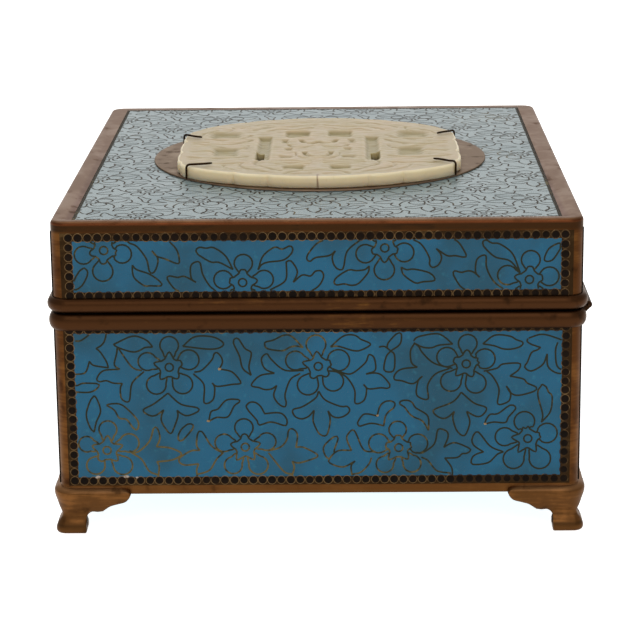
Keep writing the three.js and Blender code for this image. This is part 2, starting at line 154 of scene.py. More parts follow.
class ShaderBench:
    """Builds the node tree of one material."""

    def __init__(self, name: str) -> None:
        """Makes an empty material.

        Args:
            name: The material's name.
        """
        self.material = bpy.data.materials.new(name)
        self.material.use_nodes = True
        self.tree = self.material.node_tree
        self.tree.nodes.clear()

    def node(
        self, kind: str, settings: dict | None = None, values: dict | None = None, output: int = 0
    ) -> Signal:
        """Adds a node, sets it up and fills its sockets.

        Args:
            kind: The node's type.
            settings: Its own settings.
            values: Values or signals by socket name or number.
            output: Which output is returned.

        Returns:
            One output of the new node.
        """
        made = self.tree.nodes.new(kind)
        for name, setting in (settings or {}).items():
            setattr(made, name, setting)
        for key, value in (values or {}).items():
            if isinstance(value, Signal):
                self.tree.links.new(value.socket, made.inputs[key])
            else:
                made.inputs[key].default_value = value
        return Signal(self, made.outputs[output])

    def place(self, stretch: Triple = (1, 1, 1)) -> Signal:
        """Returns the piece's own coordinates in metres, stretched along each axis."""
        coordinates = self.node("ShaderNodeTexCoord", output=3)
        return self.node("ShaderNodeMapping", {}, {"Vector": coordinates, "Scale": stretch})

    def along(self, axis: int) -> Signal:
        """Returns the piece's own x, y or z in metres, for axis 0, 1 or 2."""
        return self.node("ShaderNodeSeparateXYZ", {}, {0: self.place()}, output=axis)

    def noise(self, size_mm: float, detail: float = 3, stretch: Triple = (1, 1, 1)) -> Signal:
        """Adds cloudy noise.

        Args:
            size_mm: How large its patches are.
            detail: How many finer layers it has.
            stretch: How much finer it is along each axis.

        Returns:
            A value around one half.
        """
        values = {"Vector": self.place(stretch), "Scale": 1 / (size_mm * MM), "Detail": detail}
        return self.node("ShaderNodeTexNoise", {}, values)

    def blend(self, first: Value, second: Value, factor: Value) -> Signal:
        """Mixes two colours.

        Args:
            first: The colour where the factor is 0.
            second: The colour where the factor is 1.
            factor: The share of the second.

        Returns:
            The mixed colour.
        """
        settings = {"data_type": "RGBA", "clamp_factor": True}
        return self.node("ShaderNodeMix", settings, {0: factor, 6: first, 7: second}, output=2)

    def relief(self, height: Signal, distance_mm: float, strength: float = 1.0) -> Signal:
        """Turns a height into a bumped normal whose full height is distance_mm."""
        values = {"Height": height, "Distance": distance_mm * MM, "Strength": strength}
        return self.node("ShaderNodeBump", {}, values)

    def surface(self, values: dict) -> bpy.types.Material:
        """Ends the tree in a Principled shader.

        Args:
            values: Values or signals by socket name.

        Returns:
            The finished material.
        """
        shader = self.node("ShaderNodeBsdfPrincipled", {}, values)
        end = self.tree.nodes.new("ShaderNodeOutputMaterial")
        self.tree.links.new(shader.socket, end.inputs["Surface"])
        return self.material


@dataclass(frozen=True)
class BrassFinish:
    """Old brass: brown patina that thins to orange metal, with grime and fine scratches.

    Each of the tones is a colour and the heights in millimetres where it begins and is full; on the
    lid and the feet some tones are painted shade and painted highlight. Climb is how much higher
    those heights lie for each millimetre towards the right-hand end.
    """

    name: str
    dark: str
    mid: str
    bright: str
    worn: float = 0.5
    roughness: float = 0.42
    tones: tuple[tuple[str, float, float], ...] = ()
    climb: float = 0.0
    metallic: float = 0.96
    glint: str = "f2ece6"

    def make(self) -> bpy.types.Material:
        """Builds the material.

        Returns:
            The material.
        """
        bench = ShaderBench(self.name)
        clouds = bench.noise(14, 3)
        patches = bench.noise(3.2, 5)
        scratches = bench.noise(0.5, 2, (0.12, 0.12, 1.0))
        wear = (clouds * 0.45 + patches * 0.3 + scratches * 0.25).between(
            0.6 - 0.25 * self.worn, 0.76 - 0.25 * self.worn
        )
        grime = patches.between(0.42, 0.26)
        tone = bench.blend(paint(self.mid), paint(self.bright), wear)
        tone = bench.blend(tone, paint(self.dark), grime * 0.7)
        height = bench.along(2) - bench.along(0) * self.climb
        # Height bands of colour; on the lid and the feet these paint shade and highlight.
        for colour, start, end in self.tones:
            there = height.between(start * MM, end * MM)
            tone = bench.blend(tone, paint(colour), there * (wear * 0.3 - grime * 0.35 + 0.7))
        grain = clouds * 0.3 + patches * 0.45 + scratches * 0.25
        return bench.surface({
            "Base Color": tone,
            "Metallic": self.metallic,
            "Roughness": grime * 0.16 - wear * 0.08 + self.roughness,
            "Specular Tint": paint(self.glint),
            "Normal": bench.relief(grain, 0.04, 0.5),
        })


@dataclass(frozen=True)
class EnamelFinish:
    """Ground and polished glass enamel: nearly even, with clouds, specks and tiny pits."""

    name: str
    deep: str
    body: str
    pale: str
    gloss: float = 0.12
    pits: float = 1.0
    specular: float = 0.2

    def make(self) -> bpy.types.Material:
        """Builds the material.

        Returns:
            The material.
        """
        bench = ShaderBench(self.name)
        clouds = bench.noise(14, 3)
        mottle = bench.noise(1.6, 4)
        specks = bench.noise(0.42, 1)
        tone = bench.blend(paint(self.deep), paint(self.body), clouds.between(0.3, 0.62))
        tone = bench.blend(tone, paint(self.pale), mottle.between(0.56, 0.78) * 0.35)
        tone = bench.blend(tone, paint(self.deep), specks.between(0.72, 0.8) * (0.6 * self.pits))
        level = mottle * 0.35 + clouds * 0.65 - specks.between(0.7, 0.8) * (0.5 * self.pits)
        return bench.surface({
            "Base Color": tone,
            "Roughness": mottle * 0.1 + specks.between(0.68, 0.8) * 0.3 + self.gloss,
            "IOR": 1.5,
            "Specular IOR Level": self.specular,
            "Normal": bench.relief(level, 0.03, 0.5),
        })


@dataclass(frozen=True)
class WireFinish:
    """Flush wire: dull and dark where it has toned, gold where the surface was rubbed."""

    name: str
    toned: str
    gold: str
    gold_level: float = 0.5
    low_rub: float = 0.0
    sheen: str = "6a5a48"
    metallic: float = 0.6

    def make(self) -> bpy.types.Material:
        """Builds the material.

        Returns:
            The material.
        """
        bench = ShaderBench(self.name)
        broad = bench.noise(22, 2)
        fine = bench.noise(1.1, 3)
        rubbed = broad * 0.6 + fine * 0.4
        if self.low_rub:
            rubbed = rubbed + bench.along(2).between(0.03, 0.01) * self.low_rub
        share = rubbed.between(self.gold_level, self.gold_level + 0.12)
        return bench.surface({
            "Base Color": bench.blend(paint(self.toned), paint(self.gold), share),
            "Metallic": self.metallic,
            "Roughness": fine * 0.2 + 0.32,
            "Specular Tint": paint(self.sheen),
        })


@dataclass(frozen=True)
class StoneFinish:
    """Pale waxy jade: cream with soft clouds, olive where the carving sinks that is partly painted
    shade, painted shade at the bottom of the deep slots, and a painted pale lit tone on the edge
    and side.

    A thin crack runs in from the right-hand edge, from crack_start to crack_full millimetres out.
    """

    name: str
    cream: str
    rose: str
    olive: str
    grime: str
    edge: str
    crack: str = "6b4632"
    crack_half: float = 0.4
    crack_start: float = 31.0
    crack_full: float = 33.0

    def make(self) -> bpy.types.Material:
        """Builds the material, which reads the carving's depth from the piece.

        Returns:
            The material.
        """
        bench = ShaderBench(self.name)
        depth = bench.node("ShaderNodeAttribute", {"attribute_name": "carved_depth"}, output=2)
        clouds = bench.noise(11, 4)
        veins = bench.noise(2.4, 5, (0.5, 1.6, 1.0))
        tone = bench.blend(paint(self.cream), paint(self.rose), clouds.between(0.42, 0.68))
        # Painted light: where the depth is below zero, on the rounded edge and side, a pale lit
        # tone is painted.
        tone = bench.blend(tone, paint(self.edge), depth.between(-0.02, -0.2))
        # Olive where the carving sinks: partly the stone's colour, partly painted shade in the
        # recesses.
        tone = bench.blend(tone, paint(self.olive), depth.between(0.07, 0.28) * 0.85)
        tone = bench.blend(tone, paint(self.olive), veins.between(0.6, 0.8) * 0.3)
        # Painted shade: the bottoms of the two deep slots are painted dark.
        tone = bench.blend(tone, paint(self.grime), depth.between(0.5, 0.95))
        half = self.crack_half * MM
        side = bench.along(1) + veins * (3 * half)
        crack = side.between(-half, 0.0) * side.between(half, 0.0)
        crack = crack * bench.along(0).between(self.crack_start * MM, self.crack_full * MM)
        tone = bench.blend(tone, paint(self.crack), crack * 0.7)
        return bench.surface({
            "Base Color": tone,
            "Roughness": veins * 0.15 + 0.36,
            "IOR": 1.45,
            "Subsurface Weight": 0.75,
            "Subsurface Radius": (0.005, 0.0044, 0.0032),
            "Subsurface Scale": 0.8,
            "Normal": bench.relief(veins * 0.7 + clouds * 0.3, 0.08, 0.5),
        })


@dataclass(frozen=True)
class PlainFinish:
    """One even colour with a little cloudiness, for the floor and the small dark beads."""

    name: str
    colour: str
    shade: str
    roughness: float
    size_mm: float = 5
    specular: float = 0.5
    glow: float = 0.0

    def make(self) -> bpy.types.Material:
        """Builds the material.

        Returns:
            The material.
        """
        bench = ShaderBench(self.name)
        clouds = bench.noise(self.size_mm, 3)
        tone = bench.blend(paint(self.colour), paint(self.shade), clouds.between(0.4, 0.7))
        return bench.surface({
            "Base Color": tone,
            "Roughness": clouds * 0.05 + self.roughness,
            "Specular IOR Level": self.specular,
            "Emission Color": paint("ffffff"),
            "Emission Strength": self.glow,
        })


class Finishes:
    """Every material of the box, made once."""

    def __init__(self) -> None:
        """Makes the materials."""
        self.strip = BrassFinish(
            "strip_brass", "301a08", "44270f", "5c3a1a", 0.6, 0.42, (("573719", 10.2, 9.3),)
        ).make()
        # Painted light on the lid: a dark band of painted shade on the upright face just under the
        # top edge, and painted highlight on the rounded edge and on the top strip.
        self.lid_brass = BrassFinish(
            "lid_brass", "301a08", "44270f", "5c3a1a", 0.6, 0.42,
            (("2b1b0d", 59.8, 60.7), ("5c3119", 61.5, 61.8), ("6e5038", 62.0, 62.3)), 0.0046,
        ).make()
        # The foot's pale tone from 8.3 mm up is a painted highlight on the top ledge, and also
        # stands for wear there.
        self.feet = BrassFinish(
            "foot_brass", "311e0d", "523418", "6b4522", 0.6, 0.46,
            (("3e2812", 2.1, 1.6), ("523418", 1.6, 1.1), ("805a38", 8.3, 8.9)),
        ).make()
        self.rim = BrassFinish("rim_brass", "221307", "3a2210", "583818", 0.25, 0.4).make()
        self.hinge = BrassFinish("hinge_brass", "140c06", "2e1d10", "5a3a1e", 0.3, 0.5).make()
        self.staple = BrassFinish("staple_brass", "1a110a", "2f2114", "4a3620", 0.3, 0.5).make()
        self.plate = BrassFinish("backing_plate", "4c3f33", "74604e", "87745f", 0.5, 0.5).make()
        self.band = BrassFinish("bead_band", "160d05", "2a1c0d", "45331c", 0.4, 0.5).make()
        self.blue = EnamelFinish("blue_enamel", "073b4d", "064a65", "1c6577").make()
        # The top's grey enamel is partly its own colour and partly painted reflection of the bright
        # backdrop at a grazing angle.
        self.sky = EnamelFinish(
            "lid_top_enamel", "697c7e", "788889", "8d9a99", 0.34, 1.0, 1.0
        ).make()
        self.lining = EnamelFinish("lining_enamel", "1a6a80", "2b8296", "4c9aa8", 0.3, 1.5).make()
        self.wire = WireFinish("flush_wire", "23271f", "52482b", 0.52, 0.06).make()
        # The top wires are paler than the wall wires: partly their own colour, partly painted
        # reflection of the bright backdrop.
        self.top_wire = WireFinish("top_wire", "3c3830", "6c6046", 0.56, 0.0, "a39c90").make()
        self.ring = WireFinish("bead_ring", "2c2015", "644f34", 0.44).make()
        self.bead = PlainFinish("dark_bead", "0e0804", "160d06", 0.5, 3, 0.04).make()
        self.chip = PlainFinish("bare_ground", "8d8379", "6e5844", 0.7, 0.6).make()
        self.solder = PlainFinish("solder_speck", "7d6238", "5a4424", 0.5, 0.6).make()
        # For the stone, "5f5232" is painted shade at the bottom of the deep slots and "d9c8a6" a
        # painted lit tone on the side.
        self.stone = StoneFinish(
            "pale_jade", "ab9b7a", "b19d7d", "928457", "5f5232", "d9c8a6"
        ).make()
        self.floor = PlainFinish("studio_floor", "efeeec", "edecea", 0.9, 300, 0.1, 0.85).make()


# ---- Mesh work ----


class MeshDraft:
    """Collects surfaces in millimetres and turns them into one finished piece."""

    WELD = 2e-7
    SLIVER = 1e-8

    def __init__(self, shift_y: float) -> None:
        """Starts empty.

        Args:
            shift_y: How far the box's own plan is moved along y.
        """
        self.shift = np.array([0.0, shift_y, 0.0])
        self.bm = bmesh.new()
        self.depth = self.bm.verts.layers.float.new("carved_depth")

    def add(
        self, points: np.ndarray, faces: Iterable[Sequence[int]], depths: np.ndarray | None = None
    ) -> None:
        """Adds points and faces.

        Args:
            points: One row of x, y and z for each point.
            faces: The point numbers round each face.
            depths: How deep each point lies in a carving, from 0 to 1.
        """
        rows = (np.asarray(points, float) + self.shift) * MM
        made = [self.bm.verts.new(row) for row in rows]
        if depths is not None:
            for vertex, value in zip(made, depths):
                vertex[self.depth] = float(value)
        for face in faces:
            self.bm.faces.new([made[i] for i in face])

    def loft(self, rings: Sequence[np.ndarray], closed: bool = False) -> None:
        """Skins rings that have the same number of points.

        Args:
            rings: The rings in order.
            closed: Whether the last ring joins the first; otherwise a flat face ends each side.
        """
        count = len(rings[0])
        last = len(rings) if closed else len(rings) - 1
        faces: list[list[int]] = []
        for level in range(last):
            a, b = level * count, ((level + 1) % len(rings)) * count
            following = [(i + 1) % count for i in range(count)]
            faces += [[a + i, a + n, b + n, b + i] for i, n in enumerate(following)]
        if not closed:
            top = (len(rings) - 1) * count
            faces += [list(range(count))[::-1], [top + i for i in range(count)]]
        self.add(np.vstack(rings), faces)

    def take(self, mesh: bpy.types.Mesh, matrix: Matrix) -> None:
        """Adds a mesh that is already in metres, and drops it.

        Args:
            mesh: The mesh.
            matrix: How it is moved.
        """
        mesh.transform(matrix)
        self.bm.from_mesh(mesh)
        bpy.data.meshes.remove(mesh)

    def finish(
        self,
        name: str,
        body: str,
        slot: str,
        material: bpy.types.Material,
        replaces: Sequence[str] = (),
        sharp: float = 40.0,
    ) -> None:
        """Welds, shades and hangs the piece on its body.

        Args:
            name: The piece's name.
            body: The body it rides on.
            slot: Not used.
            material: Its material.
            replaces: The solids it stands for.
            sharp: The angle in degrees from which an edge stays sharp.
        """
        bmesh.ops.remove_doubles(self.bm, verts=self.bm.verts, dist=self.WELD)
        bmesh.ops.dissolve_degenerate(self.bm, edges=self.bm.edges, dist=self.SLIVER)
        bmesh.ops.recalc_face_normals(self.bm, faces=self.bm.faces)
        mesh = bpy.data.meshes.new(name)
        self.bm.to_mesh(mesh)
        self.bm.free()
        mesh.materials.append(material)
        mesh.shade_smooth()
        mesh.set_sharp_from_angle(angle=math.radians(sharp))
        piece = bpy.data.objects.new(name, mesh)
        bpy.context.scene.collection.objects.link(piece)
        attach(piece, body)
        if replaces:
            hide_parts(*replaces)
        log.info("%s: %d faces on %s", name, len(mesh.polygons), body)


class NodeTree:
    """One geometry node tree with named inputs for its sizes."""

    KINDS = {"float": "NodeSocketFloat", "int": "NodeSocketInt", "material": "NodeSocketMaterial"}

    def __init__(self, name: str, inputs: dict[str, str]) -> None:
        """Makes the tree and its sockets.

        Args:
            name: The tree's name.
            inputs: Each input's name and kind.
        """
        self.tree = bpy.data.node_groups.new(name, "GeometryNodeTree")
        interface = self.tree.interface
        interface.new_socket("Geometry", in_out="INPUT", socket_type="NodeSocketGeometry")
        interface.new_socket("Geometry", in_out="OUTPUT", socket_type="NodeSocketGeometry")
        self.sockets = {
            label: interface.new_socket(
                label, in_out="INPUT", socket_type=self.KINDS[kind]
            ).identifier
            for label, kind in inputs.items()
        }
        self.entry = self.tree.nodes.new("NodeGroupInput")
        self.exit = self.tree.nodes.new("NodeGroupOutput")

    def node(
        self, kind: str, settings: dict | None = None, values: dict | None = None
    ) -> bpy.types.Node:
        """Adds a node.

        Args:
            kind: The node's type.
            settings: Its own settings.
            values: Plain values or other nodes' sockets, by socket name or number.

        Returns:
            The node.
        """
        made = self.tree.nodes.new(kind)
        for name, setting in (settings or {}).items():
            setattr(made, name, setting)
        for key, value in (values or {}).items():
            if isinstance(value, bpy.types.NodeSocket):
                self.tree.links.new(value, made.inputs[key])
            else:
                made.inputs[key].default_value = value
        return made

    def given(self, label: str) -> bpy.types.NodeSocket:
        """Returns the socket of a named input inside the tree."""
        return self.entry.outputs[label]

    def scaled(
        self, geometry: bpy.types.NodeSocket, x: NodeValue, y: NodeValue, z: NodeValue
    ) -> bpy.types.NodeSocket:
        """Scales geometry by three sockets or numbers.

        Args:
            geometry: The geometry.
            x: Its scale along x.
            y: Its scale along y.
            z: Its scale along z.

        Returns:
            The scaled geometry.
        """
        stretch = self.node("ShaderNodeCombineXYZ", {}, {0: x, 1: y, 2: z})
        values = {"Geometry": geometry, "Scale": stretch.outputs[0]}
        return self.node("GeometryNodeTransform", {}, values).outputs[0]

    def close(self, geometry: bpy.types.NodeSocket) -> None:
        """Ends the tree in Realize Instances, Set Shade Smooth and Set Material.

        Args:
            geometry: What the tree has made.
        """
        real = self.node("GeometryNodeRealizeInstances", {}, {"Geometry": geometry})
        smooth = self.node("GeometryNodeSetShadeSmooth", {}, {"Geometry": real.outputs[0]})
        values = {"Geometry": smooth.outputs[0], "Material": self.given("Finish")}
        final = self.node("GeometryNodeSetMaterial", {}, values)
        self.tree.links.new(final.outputs[0], self.exit.inputs[0])

    def run(
        self, points: np.ndarray, edges: Sequence[tuple[int, int]], values: dict
    ) -> bpy.types.Mesh:
        """Runs the tree on points and edges.

        Args:
            points: Where it works, in millimetres.
            edges: The pairs of points that paths join.
            values: A value for every named input.

        Returns:
            The result as a plain mesh in metres.
        """
        source = bpy.data.meshes.new("source")
        source.from_pydata((np.asarray(points, float) * MM).tolist(), list(edges), [])
        carrier = bpy.data.objects.new("carrier", source)
        bpy.context.scene.collection.objects.link(carrier)
        modifier = carrier.modifiers.new("Pattern", "NODES")
        modifier.node_group = self.tree
        for label, value in values.items():
            modifier[self.sockets[label]] = value
        graph = bpy.context.evaluated_depsgraph_get()
        mesh = bpy.data.meshes.new_from_object(carrier.evaluated_get(graph))
        carrier.modifiers.remove(modifier)
        bpy.data.objects.remove(carrier)
        bpy.data.meshes.remove(source)
        return mesh


class WireTree(NodeTree):
    """Carries a flattened round section along every path."""

    def __init__(self) -> None:
        """Builds the tree."""
        super().__init__(
            "wire_along_paths",
            {"Width": "float", "Rise": "float", "Sides": "int", "Finish": "material"},
        )
        paths = self.node("GeometryNodeMeshToCurve", {}, {"Mesh": self.entry.outputs[0]})
        level = self.node(
            "GeometryNodeSetCurveNormal", {"mode": "Z_UP"}, {"Curve": paths.outputs[0]}
        )
        circle = self.node(
            "GeometryNodeCurvePrimitiveCircle",
            {"mode": "RADIUS"},
            {"Resolution": self.given("Sides"), "Radius": 0.5},
        )
        flat = self.scaled(circle.outputs[0], self.given("Width"), self.given("Rise"), 1.0)
        swept = self.node(
            "GeometryNodeCurveToMesh",
            {},
            {"Curve": level.outputs[0], "Profile Curve": flat, "Fill Caps": True},
        )
        self.close(swept.outputs[0])


class BeadShape(Enum):
    """What a bead row is made of."""

    RING = "ring"
    DOME = "dome"


class BeadTree(NodeTree):
    """Sets a small wire ring or a low dome on every point, each a little different."""

    INPUTS = {
        "Radius": "float", "Width": "float", "Rise": "float", "Seed": "int", "Finish": "material",
    }
    SWAY = 0.04 * MM
    SMALLEST, LARGEST = 0.93, 1.04

    def __init__(self, shape: BeadShape) -> None:
        """Builds the tree.

        Args:
            shape: What it sets on every point.
        """
        super().__init__(f"bead_rows_{shape.value}", self.INPUTS)
        made = self.ring() if shape is BeadShape.RING else self.dome()
        seed = {"Seed": self.given("Seed")}
        sway = self.node(
            "FunctionNodeRandomValue",
            {"data_type": "FLOAT_VECTOR"},
            {0: (-self.SWAY, -self.SWAY, 0.0), 1: (self.SWAY, self.SWAY, 0.0), **seed},
        )
        values = {"Geometry": self.entry.outputs[0], "Offset": sway.outputs[0]}
        spread = self.node("GeometryNodeSetPosition", {}, values)
        limits = {2: self.SMALLEST, 3: self.LARGEST}
        size = self.node("FunctionNodeRandomValue", {"data_type": "FLOAT"}, {**limits, **seed})
        turn = self.node(
            "FunctionNodeRandomValue",
            {"data_type": "FLOAT_VECTOR"},
            {0: (0.0, 0.0, 0.0), 1: (0.0, 0.0, math.tau), **seed},
        )
        values = {
            "Points": spread.outputs[0], "Instance": made,
            "Rotation": turn.outputs[0], "Scale": size.outputs[1],
        }
        self.close(self.node("GeometryNodeInstanceOnPoints", {}, values).outputs[0])

    def ring(self) -> bpy.types.NodeSocket:
        """Makes a closed ring of flattened wire.

        Returns:
            The ring.
        """
        path = self.node(
            "GeometryNodeCurvePrimitiveCircle",
            {"mode": "RADIUS"},
            {"Resolution": 14, "Radius": self.given("Radius")},
        )
        section = self.node(
            "GeometryNodeCurvePrimitiveCircle", {"mode": "RADIUS"}, {"Resolution": 4, "Radius": 0.5}
        )
        flat = self.scaled(section.outputs[0], self.given("Width"), self.given("Rise"), 1.0)
        return self.node(
            "GeometryNodeCurveToMesh", {}, {"Curve": path.outputs[0], "Profile Curve": flat}
        ).outputs[0]

    def dome(self) -> bpy.types.NodeSocket:
        """Makes a flattened ball.

        Returns:
            The ball.
        """
        ball = self.node(
            "GeometryNodeMeshUVSphere", {}, {"Segments": 10, "Rings": 4, "Radius": 1.0}
        )
        radius = self.given("Radius")
        return self.scaled(ball.outputs[0], radius, radius, self.given("Rise"))


# ---- The wirework's drawing ----


def curve_through(points: Sequence[Pair], step: float = 0.42) -> Path2:
    """Draws a smooth open stroke through points.

    Args:
        points: The points in order.
        step: The length of one straight piece of the result.

    Returns:
        The stroke's points.
    """
    p = np.asarray(points, float)
    if len(p) == 2:
        return p
    ends = np.vstack([2 * p[0] - p[1], p, 2 * p[-1] - p[-2]])
    drawn = [p[0]]
    for a, b, c, d in zip(ends, ends[1:], ends[2:], ends[3:]):
        count = max(2, round(float(np.linalg.norm(c - b)) / step))
        for t in (np.arange(count) + 1) / count:
            square, cube = 2 * a - 5 * b + 4 * c - d, 3 * b - a - 3 * c + d
            drawn.append(0.5 * (2 * b + (c - a) * t + square * t**2 + cube * t**3))
    return np.asarray(drawn)


def bend(text: str) -> Path2:
    """Bends one wire from a line of x and z pairs, with a sharp corner at each bar.

    Args:
        text: The pairs in millimetres; the pair before a bar is the corner.

    Returns:
        The wire's points.
    """
    runs: list[np.ndarray] = []
    for part in text.split("|"):
        points = np.array(part.split(), float).reshape(-1, 2)
        runs.append(np.vstack([runs[-1][-1], points]) if runs else points)
    return np.vstack([curve_through(run) for run in runs])


@dataclass(frozen=True)
class Flower:
    """A five-petalled flower: its heart, and each petal as x, z and radius."""

    heart: Pair
    petals: tuple[Triple, ...]
    heart_radius: float = 0.8
    tip_depth: float = 0.5
    tip_side: tuple[Pair, ...] = ((0.5, 1.9), (0.39, 2.0), (0.2, 2.5))
    petal_sweep: float = 2.35
    petal_foot: tuple[Pair, ...] = ((2.0, -0.78), (2.25, -1.0))

    def paths(self) -> list[Path2]:
        """Draws the heart, the calyx and the petals.

        Returns:
            The flower's wires.
        """
        turn = np.linspace(0, math.tau, 13)
        ring = self.heart_radius * np.column_stack([np.cos(turn), np.sin(turn)])
        star, loops = [], []
        for x, z, radius in self.petals:
            out = np.array([x, z]) - self.heart
            distance = float(np.hypot(*out))
            middle = math.atan2(out[1], out[0])
            star += self.tip(middle, distance - radius + self.tip_depth)
            c, s = math.cos(middle), math.sin(middle)
            loops.append(self.petal(distance, radius) @ np.array([[c, s], [-s, c]]))
        calyx = curve_through([*star, star[0]], 0.5)
        return [path + self.heart for path in (ring, calyx, *loops)]

    def tip(self, middle: float, reach: float) -> list[Pair]:
        """Draws one blunt tip of the calyx, which reaches into its petal.

        Args:
            middle: The petal's direction.
            reach: How far the tip goes.

        Returns:
            Its points, seen from the heart.
        """
        rising = [(-off, r) for off, r in self.tip_side]
        shape = [*rising, (0.0, reach), *self.tip_side[::-1]]
        return [(r * math.cos(middle + off), r * math.sin(middle + off)) for off, r in shape]

    def petal(self, distance: float, radius: float) -> Path2:
        """Draws a round loop, open where the calyx's tip pushes into it.

        Args:
            distance: How far its middle is from the heart.
            radius: Its radius.

        Returns:
            The points of a petal to the right of the heart.
        """
        turn = np.linspace(-self.petal_sweep, self.petal_sweep, 15)
        loop = np.column_stack([distance + radius * np.cos(turn), radius * np.sin(turn)])
        return np.vstack([self.petal_foot, loop, [(x, -y) for x, y in self.petal_foot[::-1]]])


@dataclass(frozen=True)
class Motif:
    """A flower, or none, and its leaves, parted by slashes, drawn in a wall's own x and z."""

    leaves: str
    flower: Flower | None = None

    def wires(self) -> list[Path2]:
        """Returns every wire of the motif."""
        blossom = self.flower.paths() if self.flower else []
        return blossom + [bend(text) for text in self.leaves.split("/")]


UPPER_LEFT = Motif(
    """
    -31.8 37.9 -33 39.3 -35.6 40.1 -39.3 38.5 | -38.6 37.9 -36 37 -34.6 37.1 -33.3 37.8 -31.8 37.9
    /
    -34 33.2 -35.3 33.5 -36.4 34.5 -38.6 38 | -38.8 36.6 -39.3 34.4 -38.3 33.5 | -41.5 33.2 -42.8
    31.6 -42.3 31 -41 31.2 -39.6 30.7 -37.9 30.6 | -38.3 29.6 -38.1 27.5 -36.7 27 -36.2 30 -35.5
    31.3 -33.6 33 /
    -29.1 28.6 -31.8 26.5 -34 25.2 -32.8 24.1 -31.6 24.1 -30 25.2 | -30.5 23.9 -30.4 22.6 -29.2
    20.6 -28.6 20.5 -28.2 21.3 -27.3 23.8 -27.4 25.1 | -26.6 24.4 -25.3 24 -23.3 24.9 -23.5 25.6
    -26 26.1 -27.3 26.8 -29.1 28.6 /
    -26 38 -23.6 39.9 -20 39.8 -18.1 38.4 -20.2 37.4 -26 38 /
    -23.9 32.8 -22.4 33.2 -20.4 35.3 -20 36.4 -19.4 36.7 -18.6 35.8 -18.4 34.7 -19 33.4 | -16.6
    32.8 -15 30.9 -15.2 30.4 -16.5 30.3 -19.5 29.9 -20.5 30.6 | -20 29.7 -20.4 27.2 -22.1 26.6
    -22.1 30.3 -24.1 32.5
    """,
    Flower((-28.7, 33.8), (
        (-28.6, 38.2, 1.8), (-32.9, 35, 1.8), (-31.3, 30.3, 1.9),
        (-26.2, 30.4, 1.95), (-24.9, 35.3, 2),
    )),
)
UPPER_MIDDLE = Motif(
    """
    -2.8 37.6 -4.9 39.8 -6.4 40.1 -8.6 39.1 -9.9 38.8 -10.2 38.3 -9.6 37.4 -6.8 37 -5.3 37.7 -4
    37.9 -2.8 37.6 /
    -2.7 33 -6.4 33.1 -8.9 35.2 -9.8 36.4 -10.8 35.6 -10.7 34.3 -10 33.2 -8.4 32.5 | -11.2 32 -12.9
    30.1 -11.4 29.6 -10.3 29.2 -9 29.3 -8 30 | -8.6 28.1 -8.1 26.8 -7.2 25.9 -6.4 25.7 -6.2 26.6
    -6.4 28.2 -5.3 31.2 -3.4 32.4 /
    0.1 28.8 -0.5 27.4 -3 25.7 -4.7 25.2 -5 24.6 -4.4 23.6 -3.2 23.2 -1.9 23.7 -0.8 24.9 | -1 23.5
    -0.9 22.3 0.2 20.1 1.6 19.9 2.3 22.8 1.9 24.8 | 2.6 23.8 3.6 23.4 4.8 23.6 5.8 24.3 6.1 25 5.6
    25.7 4.3 25.7 1.4 27 0.1 28.8 /
    2.5 37.7 4.6 39.6 6 40.1 7.4 39.9 8.3 39.2 10.2 38.2 8.6 37.1 7 36.9 4 37.8 2.5 37.7 /
    2.9 33.3 5.4 32.3 6.9 32.5 9.2 34.5 9.7 35.8 10.1 36.1 10.9 35.4 11.1 33 9.3 32.2 | 11 32.4
    12.4 31.9 13.9 30 13.5 29.3 12.2 29.4 9.8 29.2 8.8 30.1 | 9.4 29.2 8.9 26.9 7.2 26.3 7.1 28.9
    5.8 31.3 3.9 32.8
    """,
    Flower((0.1, 33.8), (
        (-0.3, 38.2, 1.9), (-4.3, 35, 1.9), (-1.95, 30.1, 2.05), (2.95, 30.8, 2.0), (4.0, 35, 2.15),
    )),
)
UPPER_RIGHT = Motif(
    """
    18.5 38.8 19.4 39.6 22.6 40.2 24.2 39.7 26 38.1 | 23.4 37.9 22 37.4 20.3 37.5 18.5 38.4 /
    26 33.2 22.4 34.3 20.2 36.4 19.5 37.6 18.7 38.3 | 17.9 36.8 18.1 34.4 19.2 33.5 | 16.4 33.2
    15.2 32.5 14.7 31.6 14.9 31 16.2 30.8 18.4 30.2 20.2 31.7 | 19.4 30.8 19 28.4 19.6 27.4 21.3
    27.1 21.2 29.8 22.7 32.1 25.4 33.2 /
    27.7 28.4 26.8 27.1 25.6 26.2 22.8 25.1 22.3 24.5 22.9 23.7 24.1 23.1 25.2 23.4 26.4 24.5 |
    26.1 23.2 26.9 20.6 28.4 19.6 29.4 22.2 28.8 24.5 | 30.6 23.5 31.8 23.7 32.6 25.2 30.2 26.2
    27.7 28.4 /
    31.8 38.1 34.1 39.8 37 39.6 38.2 38.9 39.3 38.5 39.5 38 38.8 37.4 37.2 37 35.6 37.1 34 37.7
    31.8 38.1 /
    32 32.6 34.6 33.2 35.6 34 38.6 34.2 39.1 33.7 38.6 32.7 37.1 31.6 | 39.7 31 40.4 30.2 42.2 29.3
    41.8 28.5 38.8 27.7 37.3 28.2 36.4 29.6 | 37.2 28.4 37.2 27.1 36.6 26.3 34.8 26 35 29 33.8 31.5
    32.6 32.6
    """,
    Flower((28.65, 34.1), (
        (28.9, 38.2, 1.8), (24.9, 35.5, 1.95), (25.7, 30.6, 2.0),
        (30.5, 30.2, 2.0), (32.2, 35.1, 2.0),
    )),
)
